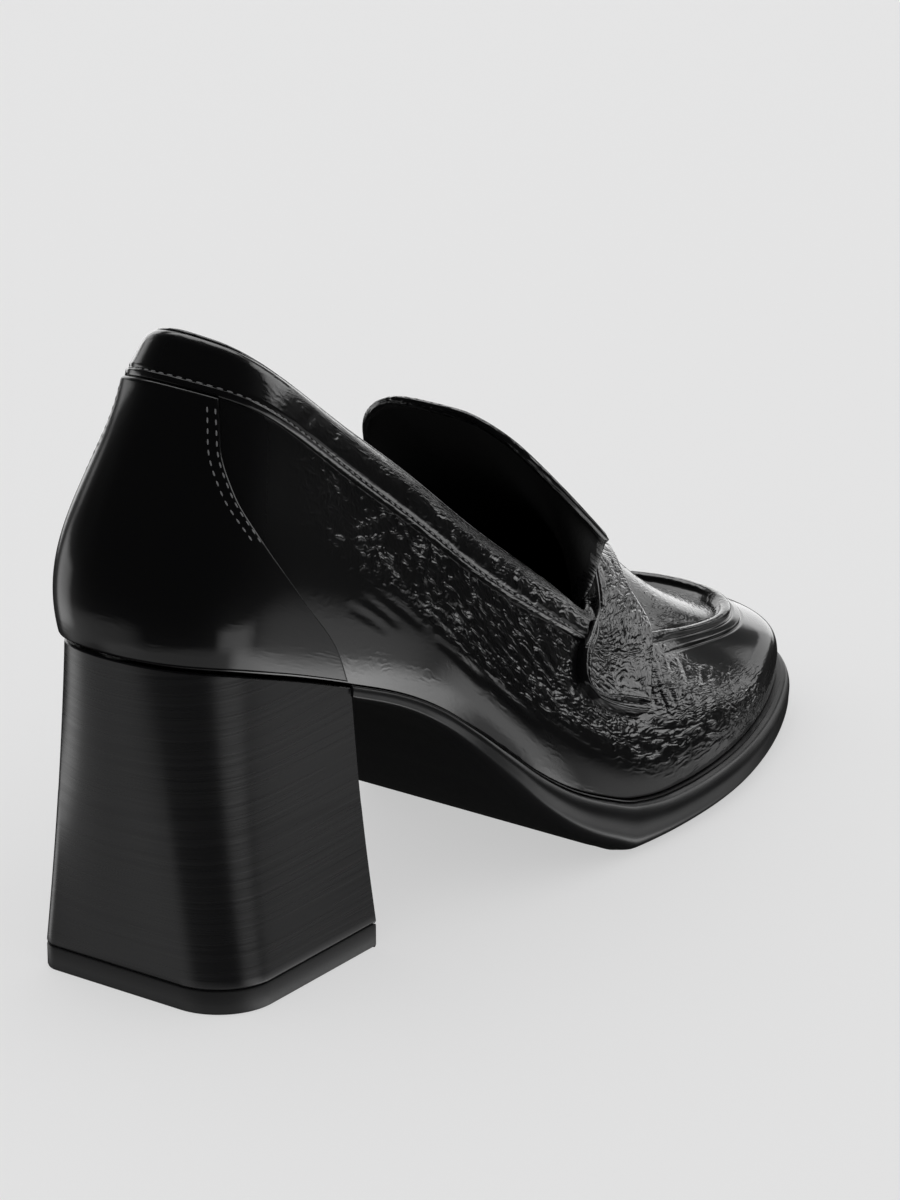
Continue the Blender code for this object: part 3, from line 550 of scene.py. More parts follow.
def upper_normal(turn, climb):
    """Outward direction of the upper's surface."""
    round_shoe = upper_point(turn + TURN_STEP, climb) - upper_point(turn - TURN_STEP, climb)
    upwards = upper_point(turn, climb + CLIMB_STEP) - upper_point(turn, np.maximum(climb - CLIMB_STEP, 0.0))
    across = np.cross(round_shoe, upwards)
    return across / np.linalg.norm(across, axis=-1)[..., None]


def leather(turn, climb, proud):
    """Point that stands proud of the upper's outer surface, or below it where proud is negative."""
    turn, climb, proud = np.broadcast_arrays(np.asarray(turn, float), climb, proud)
    return upper_point(turn, climb) + proud[..., None] * upper_normal(turn, climb)


def grid_normal(grid):
    """Direction across a grid of points: turns run along the first axis and climbs along the second."""
    across = np.cross(np.gradient(grid, axis=0), np.gradient(grid, axis=1))
    return across / np.linalg.norm(across, axis=-1)[..., None]


def edge_ring(turn, spread):
    """Lower edge of the upper in plan, moved outwards by a spread."""
    plan = closed_spline(ring_plan(LOWER_EDGE), turn)
    return plan + np.asarray(spread)[..., None] * outward(turn)[..., :2]


def tread_path(share, radius):
    """Half of the heel tread's outline, from the middle of its back to its front corner."""
    half = 0.5 * (SEAT_WIDTH + HEEL_FLARE)
    back = -0.5 * HEEL_TREAD_LENGTH
    straight = half - radius
    corner = 0.5 * math.pi * radius
    reach = share * (straight + corner + HEEL_TREAD_LENGTH - radius)
    angle = np.clip((reach - straight) / radius, 0.0, 0.5 * math.pi)
    x = np.minimum(reach, straight) + radius * np.sin(angle)
    y = back + radius * (1.0 - np.cos(angle)) + np.maximum(reach - straight - corner, 0.0)
    return np.column_stack([x, y])


def heel_rings():
    """Outline of the heel at its tread and at its top, with matching points."""
    turn = np.linspace(0.0, BREAST_TURN, HEEL_COLUMNS)
    rings = []
    for direction, radius in ((1.0, OUTER_CORNER_RADIUS), (-1.0, INNER_CORNER_RADIUS)):
        top = edge_ring(direction * turn, HEEL_MARGIN)
        top[-1, 1] = along_y(LOWER_EDGE[int(BREAST_TURN)][1])
        steps = np.linalg.norm(np.diff(top, axis=0), axis=1)
        share = np.concatenate([[0.0], np.cumsum(steps)]) / steps.sum()
        tread = tread_path(share, radius) * np.array([direction, 1.0])
        rings.append((tread, top))
    tread = np.concatenate([rings[0][0], rings[1][0][::-1]])
    top = np.concatenate([rings[0][1], rings[1][1][::-1]])
    return tread, top


def shoe_settings():
    """Settings of the shoe's leather and stitching, as the panel shows them."""
    return bpy.context.scene.loafer_leather


def grid_faces(count, rows, wrap_turns, wrap_rows):
    """Quads between neighbouring points of a grid, counted along its first axis and then its second."""
    i = np.arange(count if wrap_turns else count - 1)
    k = np.arange(rows if wrap_rows else rows - 1)
    i, k = np.meshgrid(i, k, indexing="ij")
    ahead = (i + 1) % count
    above = (k + 1) % rows
    corners = [(i, k), (ahead, k), (ahead, above), (i, above)]
    return np.stack([a * rows + b for a, b in corners], axis=-1).reshape(-1, 4)


def grid_corners(values):
    """Values at the corners of each quad. Where the grid closes, they hold one more row than the points."""
    corners = [values[:-1, :-1], values[1:, :-1], values[1:, 1:], values[:-1, 1:]]
    return np.stack(corners, axis=-2).reshape(-1, 4, values.shape[-1])


def in_scene(name, data):
    """Object with this data, in the scene."""
    made = bpy.data.objects.new(name, data)
    bpy.context.scene.collection.objects.link(made)
    return made


def piece(name, node, finishes, points, faces, corners=None, which=None, crinkle=None):
    """Mesh object from arrays: points, quads, the surface map at each corner, the material number of each
    face, and the strength of the crinkle at each point. It rides on the shoe and stands for a node."""
    mesh = bpy.data.meshes.new(name)
    mesh.vertices.add(points.size // 3)
    mesh.vertices.foreach_set("co", points.astype(np.float32).ravel())
    mesh.loops.add(faces.size)
    mesh.loops.foreach_set("vertex_index", faces.astype(np.int32).ravel())
    mesh.polygons.add(len(faces))
    mesh.polygons.foreach_set("loop_start", np.arange(0, faces.size, faces.shape[1], dtype=np.int32))
    if which is not None:
        mesh.polygons.foreach_set("material_index", which.astype(np.int32).ravel())
    mesh.update(calc_edges=True)
    mesh.validate()
    if corners is not None:
        layer = mesh.uv_layers.new(name="grain")
        layer.data.foreach_set("uv", corners.astype(np.float32).ravel())
    if crinkle is not None:
        layer = mesh.attributes.new("crinkle", "FLOAT", "POINT")
        layer.data.foreach_set("value", crinkle.astype(np.float32).ravel())
    mesh.shade_smooth()
    for finish in finishes:
        mesh.materials.append(finish)
    made = in_scene(name, mesh)
    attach(made, "root")
    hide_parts(node)
    return made


def close_piece(made, open_ends, uneven):
    """Merge the points that meet, close the open ends, turn the faces outwards and keep sharp edges. On an
    uneven piece, slivers are dissolved and an end is filled with triangles."""
    body = bmesh.new()
    body.from_mesh(made.data)
    bmesh.ops.remove_doubles(body, verts=body.verts, dist=MERGE)
    if uneven:
        bmesh.ops.dissolve_degenerate(body, edges=body.edges, dist=MERGE)
    if open_ends:
        borders = [edge for edge in body.edges if edge.is_boundary]
        filled = bmesh.ops.holes_fill(body, edges=borders, sides=0)["faces"]
        if uneven:
            bmesh.ops.triangulate(body, faces=filled)
    bmesh.ops.recalc_face_normals(body, faces=body.faces)
    body.to_mesh(made.data)
    body.free()
    made.data.shade_smooth()
    made.data.set_sharp_from_angle(angle=SMOOTH_ANGLE)
    return made


def grain_map(turn, climb):
    """Surface map in metres: along the shoe and up its wall, measured on the outer surface."""
    points = upper_point(turn, climb)
    along = np.linalg.norm(np.diff(points, axis=0), axis=-1)
    along = np.concatenate([np.zeros((1, points.shape[1])), np.cumsum(along, axis=0)], axis=0)
    along = np.repeat(along.mean(axis=1, keepdims=True), points.shape[1], axis=1)
    upward = np.linalg.norm(np.diff(points, axis=1), axis=-1)
    upward = np.concatenate([np.zeros((points.shape[0], 1)), np.cumsum(upward, axis=1)], axis=1)
    return np.stack([along, upward], axis=-1)


def bump_row(distance, center, width):
    """Soft round ridge: a cosine hill of a width, at a distance."""
    share = np.clip(np.abs(distance - center) / (0.5 * width), 0.0, 1.0)
    return 0.5 + 0.5 * np.cos(np.pi * share)


def crease_heights(points, creases):
    """Depth of the listed creases at the points. Each is a soft trough along a bowed line on the wall, with
    a low ridge on both sides, and it fades out towards its two ends."""
    height = np.zeros(points.shape[:-1])
    flat = points.reshape(-1, 3)
    total = height.ravel()
    share = np.linspace(0.0, 1.0, CREASE_POINTS)
    for turn_a, climb_a, turn_b, climb_b, bow, width, depth in creases:
        turn = turn_a + (turn_b - turn_a) * share
        climb = climb_a + (climb_b - climb_a) * share + bow * np.sin(np.pi * share)
        line = upper_point(turn, climb)
        low = line.min(axis=0) - CREASE_REACH * width
        high = line.max(axis=0) + CREASE_REACH * width
        near = np.flatnonzero(((flat > low) & (flat < high)).all(axis=1))
        if len(near) == 0:
            continue
        start = line[:-1]
        run = line[1:] - start
        offset = flat[near][:, None] - start
        place = np.clip((offset * run).sum(-1) / (run * run).sum(-1), 0.0, 1.0)
        distance = np.linalg.norm(offset - place[..., None] * run, axis=-1)
        nearest = distance.argmin(axis=1)
        rows = np.arange(len(near))
        reach = (distance[rows, nearest] / width) ** 2
        along = (nearest + place[rows, nearest]) / len(start)
        fade = np.sin(np.pi * np.clip(along, 0.0, 1.0)) ** 0.7
        total[near] -= depth * fade * (1.0 - 0.9 * reach) * np.exp(-0.9 * reach)
    return total.reshape(height.shape)


def both_sides(creases):
    """Creases of the outer side, and the same kind of creases on the inner side, a little shifted."""
    mirrored = [(FULL_TURN - a - INNER_SHIFT, b, FULL_TURN - c - INNER_SHIFT, d, bow, width,
                 INNER_DEPTH * depth) for a, b, c, d, bow, width, depth in creases]
    return tuple(creases) + tuple(mirrored)


def crinkle_field(turn, climb):
    """Strength of the crinkle on the upper, from almost 0 on the smooth heel, toe and lower wall to 1 about
    the strap. On the wall it is a product of soft steps along the shoe and up the wall, and it is even on
    the apron."""
    side = np.where(turn > TOE_TURN, FULL_TURN - turn, turn)
    behind = ease(side, *CRINKLE_BEHIND)
    before = 1.0 - ease(side + 0.9 * np.minimum(climb, 1.0), *CRINKLE_BEFORE)
    forward = 0.055 * (side - 4.0) + 0.22 * ease(side, 7.6, 9.4)
    full = 1.0 - SMOOTH_CRINKLE
    low = SMOOTH_CRINKLE + full * ease(climb + forward, *CRINKLE_LOW)
    wall = SMOOTH_CRINKLE + full * behind * before * low
    return np.where(climb <= 1.02, wall, APRON_CRINKLE)


def side_by_side(count, parts):
    """Parts of a grid joined along its rows, each spread over the same count of columns."""
    return np.concatenate([np.broadcast_to(part, (count, np.shape(part)[-1])) for part in parts], axis=1)


def wall_relief(below):
    """Low second step on the wall, at a distance below the moc seam, with a groove along both its edges."""
    ends = ease(below, STEP_WIDTH - STEP_SLOPE, STEP_WIDTH)
    step = SECOND_STEP * ease(below, 0.0, STEP_SLOPE) * (1.0 - ends)
    grooves = bump_row(below, GROOVE_PLACE, GROOVE_WIDTH)
    grooves = grooves + 0.5 * bump_row(below, STEP_WIDTH + GROOVE_PLACE, GROOVE_WIDTH)
    return step - GROOVE_DEPTH * grooves


def rim_relief(rim):
    """Rolled rim of the moc seam: a half round across its width, then a groove and the sunk apron."""
    roll = SEAM_HEIGHT * half_round(2.0 * np.clip(rim, 0.0, ROLL_SHARE) / ROLL_SHARE - 1.0)
    return roll - RIM_GROOVE * bump_row(rim, 0.95, 0.16) - APRON_SINK * ease(rim, 0.86, 0.94)


def make_upper_shell(finishes):
    """Upper as one closed skin: the outer wall climbs to the seam, over the rolled rim and the apron to the
    throat, round the lip and down the lining. The lip is a half circle as thick as the wall."""
    turn = np.arange(UPPER_COLUMNS + 1) * (FULL_TURN / UPPER_COLUMNS)
    seam = upper_point(turn, 1.0)
    crown = np.linalg.norm(upper_point(turn, 2.0) - seam, axis=1)[:, None]
    reach = np.linalg.norm(seam - upper_point(turn, 0.0), axis=1)[:, None]
    across = len(turn)
    turn = turn[:, None]
    rolled = ease(1.0 - np.abs(turn - TOE_TURN) / TOE_TURN, *RIM_FADE)
    rim = np.linspace(0.0, 1.0, 15)[None, 1:]
    share = np.linspace(0.0, 1.0, 34)[None, 1:]
    end = SEAM_WIDTH / crown
    crown_climb = 1.0 + end + (1.0 - end) * share
    sunk = 1.0 - ease(share, *SINK_FADE)
    climb = side_by_side(across, [WALL_ROWS, 1.0 + rim * SEAM_WIDTH / crown, crown_climb])
    proud = np.concatenate([rolled * wall_relief((1.0 - WALL_ROWS) * reach), rolled * rim_relief(rim),
                            -APRON_SINK * rolled * sunk], axis=1)
    outer = leather(turn, climb, proud)
    creased = crease_heights(outer, both_sides(WALL_CREASES))
    outer = outer + creased[..., None] * upper_normal(turn, climb)
    angle = np.radians([30.0, 60.0, 90.0, 120.0, 150.0])[None, :]
    lip_climb = 2.0 + 0.5 * WALL * np.sin(angle) / crown
    lip = leather(turn, lip_climb, -0.5 * WALL * (1.0 - np.cos(angle)))
    inner_climb = side_by_side(across, [crown_climb[:, ::-3], [1.0]])
    inner_sunk = side_by_side(1, [sunk[:, ::-3], [1.0]])
    inner_top = leather(turn, inner_climb, -WALL - APRON_SINK * rolled * inner_sunk)
    inner_wall = leather(turn, LINING_ROWS, -WALL)
    inner_wall[:, -1, 2] = edge_height(inner_wall[:, -1, 1])
    points = np.concatenate([outer, lip, inner_top, inner_wall], axis=1)[:-1]
    count, rows = points.shape[:2]
    climb = side_by_side(across, [climb, lip_climb, inner_climb, LINING_ROWS, [0.0]])
    crinkle = crinkle_field(turn, climb[:, :rows])[:-1]
    lined = np.broadcast_to(np.arange(rows) >= outer.shape[1] + lip.shape[1] - 1, (count, rows))
    return piece("upper_shell", "upper", finishes, points,
                 grid_faces(count, rows, True, True), grid_corners(grain_map(turn, climb)), lined, crinkle)


def leather_panel(name, node, finishes, turn, climb, proud, crinkle):
    """Patent panel on the upper: a front grid, proud of the wall, and a back grid just under it."""
    front = leather(turn, climb, proud)
    back = leather(turn, climb, np.full(proud.shape, -PANEL_SINK))
    return two_skins(name, node, finishes, front, back, grain_map(turn, climb),
                     crinkle)


def two_skins(name, node, finishes, front, back, cover, crinkle, lined=None):
    """Closed piece from a front and a back grid of the same rows and columns, with their borders joined.
    The faces marked as lined have the second finish."""
    count, rows = front.shape[:2]
    sides = 2 * rows
    points = np.concatenate([front, back[:, ::-1]], axis=1)
    cover = np.concatenate([cover, cover[:, ::-1], cover[:, :1]], axis=1)
    k = np.arange(rows - 1)
    ends = []
    for first, flip in ((0, False), ((count - 1) * sides, True)):
        quad = np.stack([first + k, first + k + 1, first + sides - 2 - k, first + sides - 1 - k], axis=-1)
        ends.append(quad[:, ::-1] if flip else quad)
    faces = np.concatenate([grid_faces(count, sides, False, True)] + ends)
    corners = np.concatenate([grid_corners(cover), np.zeros((2 * len(k), 4, 2))])
    which = np.zeros(len(faces), dtype=int)
    if lined is not None:
        which[:lined.size] = lined.ravel()
    strength = np.concatenate([crinkle, crinkle[:, ::-1]], axis=1)
    return piece(name, node, finishes, points, faces, corners, which, strength)


def border_steps(count, edge):
    """Shares from 0 to 1, closer together at both borders, where a panel's edge is rounded."""
    near = edge * np.array([0.0, 0.08, 0.25, 0.5, 0.8])
    middle = np.linspace(edge, 1.0 - edge, count)
    return np.concatenate([near, middle, 1.0 - near[::-1]])


def half_round(offset):
    """Height of a half circle at an offset from its middle, both as shares of its radius."""
    return np.sqrt(np.clip(1.0 - offset ** 2, 0.0, 1.0))


def rounded(distance, radius):
    """Height of a rounded border, as a share: a quarter circle over the radius, flat beyond it."""
    return half_round(1.0 - np.clip(distance / radius, 0.0, 1.0))


def border_distance(points, axis):
    """Distance of each point of a grid from its grid's two borders along an axis."""
    step = np.linalg.norm(np.diff(points, axis=axis), axis=-1)
    zero = np.zeros_like(np.take(step, [0], axis=axis))
    from_start = np.concatenate([zero, np.cumsum(step, axis=axis)], axis=axis)
    whole = np.take(from_start, [-1], axis=axis)
    return from_start, whole - from_start


def border_near(points, axis):
    """Distance of each point of a grid from the nearer of its two borders along an axis."""
    return np.minimum(*border_distance(points, axis))


def counter_edge(climb):
    """Turn of the counter's front edge at a climb."""
    return monotone(climb, np.linspace(0.0, 1.0, len(COUNTER_EDGE)), np.array(COUNTER_EDGE))


def make_counter_panel(finishes):
    """Counter: smooth panel with thin rounded edges."""
    climb = COUNTER_FOOT + (COUNTER_HEAD - COUNTER_FOOT) * border_steps(70, 0.015)
    turn = (2.0 * border_steps(150, 0.008) - 1.0)[:, None] * counter_edge(climb)
    climb = np.broadcast_to(climb, turn.shape)
    ground = upper_point(turn, climb)
    nearest = np.minimum(border_near(ground, 0), border_near(ground, 1))
    proud = (GAP + COUNTER_THICKNESS) * rounded(nearest, CUT_EDGE)
    proud += crease_heights(ground, both_sides(COUNTER_CREASES))
    crinkle = np.full(turn.shape, SMOOTH_CRINKLE)
    return leather_panel("counter_panel", "counter", finishes, turn, climb, proud, crinkle)


def make_collar_padding(finishes):
    """Padded collar band: a full round section between its stitched lower edge and the topline, where it
    is rounded down to the lip. A stitched channel runs along its lower edge. Its ends follow the strap's
    rear edge."""
    share = border_steps(22, 0.10)
    place = 2.0 * border_steps(330, 0.004) - 1.0
    end = monotone(1.0 + share, column(STRAP_EDGES, 2)[1:6], column(STRAP_EDGES, 1)[1:6]) - STRAP_GAP
    turn = place[:, None] * end
    climb = np.broadcast_to(1.0 + share, turn.shape)
    ground = upper_point(turn, climb)
    height = share * BAND_WIDTH
    puff = GAP + BAND_THICKNESS * (0.35 + 0.65 * np.sin(np.pi * share) ** 0.6)
    channel = -CHANNEL_DEPTH * bump_row(height, CHANNEL_PLACE, CHANNEL_WIDTH)
    edge = rounded(height, 0.0011) * rounded((1.0 - share) * BAND_WIDTH, 0.0022)
    proud = (puff + channel) * edge * rounded(border_near(ground, 0), 0.0008)
    proud += BAND_CREASE_DEPTH * crease_heights(ground, both_sides(BAND_CREASES))
    crinkle = 0.10 + 0.75 * ease(np.abs(turn), 2.6, 6.6) * (0.4 + 0.6 * ease(share, 0.1, 0.5))
    return leather_panel("collar_padding", "collar_band", finishes, turn, climb, proud, crinkle)


def strap_grid():
    """Turns and climbs of the strap's surface, from its outer end over the crown to the inner end."""
    places = np.arange(len(STRAP_EDGES), dtype=float)
    half = np.concatenate([np.array([0.0, 0.03, 0.08, 0.16]), np.linspace(0.26, places[-1], 130)])
    rear = [monotone(half, places, column(STRAP_EDGES, k)) for k in (1, 2)]
    front = [monotone(half, places, column(STRAP_EDGES, k)) for k in (3, 4)]
    across = border_steps(54, 0.05)
    turn = rear[0][:, None] * (1.0 - across) + front[0][:, None] * across
    climb = rear[1][:, None] * (1.0 - across) + front[1][:, None] * across
    turn = np.concatenate([turn, FULL_TURN - turn[-2::-1]])
    climb = np.concatenate([climb, climb[-2::-1]])
    return turn, climb, across


def make_strap(finishes):
    """Saddle strap: a panel with a rolled bead along its rear edge and round its lower ends. The bead is a
    half circle across the edge, with a groove and a second low ridge inside it."""
    turn, climb, across = strap_grid()
    stand = GAP + STRAP_LIFT * across ** 2
    ground = leather(turn, climb, stand)
    ends = border_near(ground, 0)
    rear, front = border_distance(ground, 1)
    place = np.minimum(rear, ends)
    inside = 2.0 * STRAP_BEAD
    bead = BEAD_RISE * STRAP_BEAD * half_round(place / STRAP_BEAD - 1.0)
    bead += 0.0004 * bump_row(place, inside + 0.0013, 0.0014)
    bead -= 0.0009 * bump_row(place, inside + 0.0001, 0.0010)
    tip = rounded(place, 0.0005)
    border = rounded(front, CUT_EDGE) * tip
    proud = (stand + (STRAP_THICKNESS - GAP)) * border + bead * tip
    proud += crease_heights(ground, both_sides(STRAP_CREASES))
    crinkle = 1.0 + 0.5 * ease(ends, 0.004, 0.03) * ease(rear, 0.003, 0.007)
    crinkle *= 0.2 + 0.8 * ease(place, 1.6 * STRAP_BEAD, 2.6 * STRAP_BEAD)
    front = bridged(leather(turn, climb, proud), ends)
    back = bridged(leather(turn, climb, np.full(proud.shape, -STRAP_SINK)), ends)
    return two_skins("strap_panel", "saddle_strap", finishes, front, back,
                     grain_map(turn, climb)[..., ::-1], crinkle)


def bridged(grid, ends):
    """Grid whose rows run straight over the folds of the wall, except near its two ends."""
    share = 0.5 * ease(ends, 0.004, 0.012)[1:-1, :, None]
    for _ in range(BRIDGE_PASSES):
        middle = 0.5 * (grid[:-2] + grid[2:])
        grid[1:-1] += share * (middle - grid[1:-1])
    return grid


def make_tongue_panel(finishes):
    """Tongue: two thin leathers. Its free part runs up the instep from the throat as a rounded arch, and
    the outer leather is folded over the edge of the lining."""
    side = (2.0 * border_steps(92, 0.03) - 1.0)[:, None]
    turn = TOE_TURN + side * TONGUE_HALF_TURN
    throat = upper_point(turn, 2.0)
    under = WALL + TONGUE_CLEARANCE
    crown = np.linalg.norm(throat - upper_point(turn, 1.0), axis=-1)
    tucked = leather(turn, 2.0 - np.linspace(1.0, 0.1, 8) * TONGUE_TUCK / crown, -under)
    slope = math.radians(TONGUE_PITCH)
    rise = np.array([0.0, -math.cos(slope), math.sin(slope)])
    facing = np.array([0.0, math.sin(slope), math.cos(slope)])
    base = throat - under * upper_normal(turn, 2.0)
    middle = base[len(base) // 2]
    drop = ((middle - base) @ facing)[..., None]
    offset = np.abs(base[..., 0] - middle[..., 0])[..., None]
    top_rows = 1.0 - 0.10 * np.array([0.8, 0.6, 0.4, 0.22, 0.1, 0.0])
    step = np.concatenate([np.linspace(0.0, 0.90, 44), top_rows])[None, :, None]
    arch = np.sqrt(1.0 - TONGUE_ARCH * (offset / offset.max()) ** TONGUE_SQUARE)
    flatten = TONGUE_FLATTEN * (1.0 - (1.0 - step) ** 2) * drop * facing
    aside = np.array([1.0, 0.0, 0.0])
    spread = (TONGUE_SPREAD * (base - middle) + TONGUE_SHIFT) * step ** 3 * aside
    free = base + TONGUE_LENGTH * arch * step * rise + flatten + spread
    sheet = np.concatenate([tucked, free], axis=1)
    normal = grid_normal(sheet)
    nearest = np.minimum(border_near(sheet, 0), border_distance(sheet, 1)[1])
    half = 0.5 * TONGUE_THICKNESS
    swell = 0.25 + 0.75 * rounded(nearest, 0.0012)
    binding = ease(nearest, 0.0024, 0.0032)
    front = sheet - half * (1.0 - swell)[..., None] * normal
    back = sheet - (half * (1.0 + swell) - 0.0003 * binding)[..., None] * normal
    count, rows = sheet.shape[:2]
    bound = binding[:-1, :-1] + binding[1:, :-1] + binding[:-1, 1:] + binding[1:, 1:]
    lined = np.zeros((count - 1, 2 * rows), dtype=bool)
    lined[:, rows:-1] = (0.25 * bound > 0.5)[:, ::-1]
    cover = np.stack(np.broadcast_arrays(0.03 * side, np.linspace(0.0, 0.060, rows)), axis=-1)
    return two_skins("tongue_panel", "tongue", finishes, front, back, cover,
                     np.full((count, rows), 0.55), lined)


def make_sock(finishes):
    """Sock on the insole: a slightly hollow top between its rounded borders, over a flat underside."""
    turn = np.linspace(0.0, TOE_TURN, 190)
    outer, inner = (edge_ring(turns, -WALL - GAP) for turns in (turn, FULL_TURN - turn))
    share = border_steps(26, 0.03)[None, :, None]
    plan = outer[:, None] * (1.0 - share) + inner[:, None] * share
    share = share[..., 0]
    seat = edge_height(plan[..., 1])
    width = np.linalg.norm(outer - inner, axis=1)[:, None]
    border = np.minimum(share, 1.0 - share) * width
    top = seat + INSOLE_THICKNESS * (0.55 + 0.45 * rounded(border, 0.0012))
    top -= 0.0008 * np.sin(np.pi * share) * ease(width, 0.01, 0.04)
    above, below = (np.concatenate([plan, height[..., None]], axis=-1) for height in (top, seat))
    cover = plan[..., ::-1] * np.array([1.0, -1.0])
    made = two_skins("sock_lining", "insole", finishes, above, below, cover,
                     np.full(seat.shape, 0.2))
    return close_piece(made, open_ends=False, uneven=True)


def sole_rows():
    """Fine rows down the side of the sole, through the source's table: outwards, down and rounding."""
    places = np.arange(len(SOLE_ROWS), dtype=float)
    fine = np.linspace(0.0, places[-1], 31)
    rows = np.stack([monotone(fine, places, column(SOLE_ROWS, k)) for k in range(3)], axis=1)
    groove = -SOLE_GROOVE * bump_row(rows[:, 1], 0.045, 0.08)
    return np.column_stack([rows, groove])


def sole_side(turn):
    """Points down the side of the sole, from its top edge to its tread."""
    plan = edge_ring(turn, 0.0)
    height = edge_height(plan[:, 1]) - GAP - tread_height(plan[:, 1])
    full = ease(height, SOLE_THIN, SOLE_FULL)
    swell = SOLE_LEAN + (1.0 - SOLE_LEAN) * full
    radius = np.minimum(SOLE_EDGE_RADIUS, EDGE_LIMIT * height)
    rows = []
    for outwards, down, rounding, groove in sole_rows():
        spread = (SOLE_MARGIN + (SOLE_BULGE - SOLE_MARGIN) * outwards + groove) * swell
        place = edge_ring(turn, spread - rounding * radius)
        top = edge_height(place[:, 1]) - GAP
        low = tread_height(place[:, 1])
        rows.append(np.column_stack([place, top + (low - top) * down]))
    return np.stack(rows, axis=1)


def make_sole(finishes):
    """Outsole from the breast to the toe: a swelling side, a narrow groove under the upper, and a tread
    whose rows run straight across."""
    turn = np.linspace(BREAST_TURN, TOE_TURN, 260)
    outer = sole_side(turn)
    inner = sole_side(FULL_TURN - turn)
    share = np.linspace(0.0, 1.0, 15)[None, 1:-1, None]
    tread = outer[:, -1:] * (1.0 - share) + inner[:, -1:] * share
    tread[..., 2] = tread_height(tread[..., 1])
    deck = inner[:, :1] * (1.0 - share) + outer[:, :1] * share
    deck[..., 2] = edge_height(deck[..., 1]) - GAP
    points = np.concatenate([outer, tread, inner[:, ::-1], deck], axis=1)
    points[0, :, 1] = along_y(LOWER_EDGE[int(BREAST_TURN)][1]) + GAP
    return ring_solid("sole", "outsole", finishes, points[:, ::-1], uneven=True)


def ring_solid(name, node, finishes, levels, uneven=False):
    """Closed piece through outlines of the same count, with its open ends filled."""
    made = piece(name, node, finishes, levels, grid_faces(*levels.shape[:2], False, True))
    return close_piece(made, open_ends=True, uneven=uneven)


def shrunk(outline, inset):
    """Outline in plan with each point moved inwards by an inset, across the outline's direction."""
    ahead = np.roll(outline, -1, axis=0) - np.roll(outline, 1, axis=0)
    across = np.stack([ahead[:, 1], -ahead[:, 0]], axis=1)
    across /= np.linalg.norm(across, axis=1)[:, None]
    center = outline.mean(axis=0)
    side = np.sign(((outline - center) * across).sum(axis=1))
    return outline - inset * across * np.median(side)


def make_heel_stack(finishes):
    """Heel block: outlines that run from the tread to the seat, a little hollow between them, with
    softened edges at both ends."""
    tread, top = heel_rings()
    foot = LIFT_HEIGHT + 0.5 * GAP
    head = edge_height(top[:, 1]) - GAP
    sides = 40
    shares = np.concatenate([[0.0, 0.0, 0.0], np.linspace(0.0, 1.0, sides), [1.0, 1.0]])
    lifts = np.concatenate([[0.0, 0.15, 0.5], np.ones(sides), [1.3, 1.6]])
    insets = np.concatenate([[1.0, 0.45, 0.12], np.zeros(sides), [0.3, 1.0]])
    levels = []
    for share, lift, inset in zip(shares, lifts, insets):
        hollow = 1.0 - HEEL_WAIST / (0.5 * SEAT_WIDTH) * math.sin(math.pi * share)
        plan = shrunk((tread + (top - tread) * share) * np.array([hollow, 1.0]), inset * HEEL_EDGE)
        rise = lift if share < 0.5 else lift - 1.0
        height = foot + (head - foot - 1.6 * HEEL_EDGE) * share + rise * HEEL_EDGE
        levels.append(np.column_stack([plan, height]))
    return ring_solid("heel_stack", "heel_block", finishes, np.stack(levels))


def make_heel_lift(finishes):
    """Top lift: a rubber plate with softened edges, flat on the floor."""
    tread = heel_rings()[0]
    levels = []
    for height, inset in ((0.0, 0.0006), (0.00015, 0.0002), (0.0006, 0.0), (0.0030, 0.0), (0.0050, 0.0),
                          (0.0054, 0.0001), (LIFT_HEIGHT, 0.0005)):
        levels.append(np.column_stack([shrunk(tread, inset), np.full(len(tread), height)]))
    return ring_solid("heel_lift", "top_lift", finishes, np.stack(levels))


def stitch_shape():
    """One stitch, along x: five rings of six points between two poles, in units of its length and width."""
    place = np.array([-0.44, -0.28, 0.0, 0.28, 0.44])
    girth = np.array([0.45, 0.85, 1.0, 0.85, 0.45])
    angle = np.arange(6) * np.pi / 3.0
    rings = np.stack([np.repeat(place, 6), np.outer(girth, np.cos(angle)).ravel() * 0.5,
                      np.outer(girth, np.sin(angle)).ravel() * 0.5], axis=1)
    points = np.concatenate([rings, [[-0.5, 0.0, 0.0], [0.5, 0.0, 0.0]]])
    quads = grid_faces(5, 6, False, True)
    k = np.arange(6)
    first = np.stack([np.full(6, 30), (k + 1) % 6, k], axis=1)
    last = np.stack([np.full(6, 31), 24 + k, 24 + (k + 1) % 6], axis=1)
    return points, quads, np.concatenate([first, last])


def stitch_places(turn, climb, proud):
    """Places, directions and outward normals of the stitches along a line on the upper, at equal steps."""
    settings = shoe_settings()
    line = leather(turn, climb, proud)
    run = np.concatenate([[0.0], np.cumsum(np.linalg.norm(np.diff(line, axis=0), axis=1))])
    count = max(int(run[-1] / settings.stitch_pitch), 2)
    at = (np.arange(count) + 0.5) * run[-1] / count
    index = np.interp(at, run, np.arange(len(run)))
    turns = np.interp(index, np.arange(len(turn)), turn)
    climbs = np.interp(index, np.arange(len(climb)), climb)
    centers = np.stack([np.interp(at, run, line[:, k]) for k in range(3)], axis=1)
    ahead = np.stack([np.interp(at + 0.0004, run, line[:, k]) for k in range(3)], axis=1) - centers
    ahead /= np.linalg.norm(ahead, axis=1)[:, None]
    out = upper_normal(turns, climbs)
    out -= (out * ahead).sum(axis=1)[:, None] * ahead
    out /= np.linalg.norm(out, axis=1)[:, None]
    return centers, ahead, out


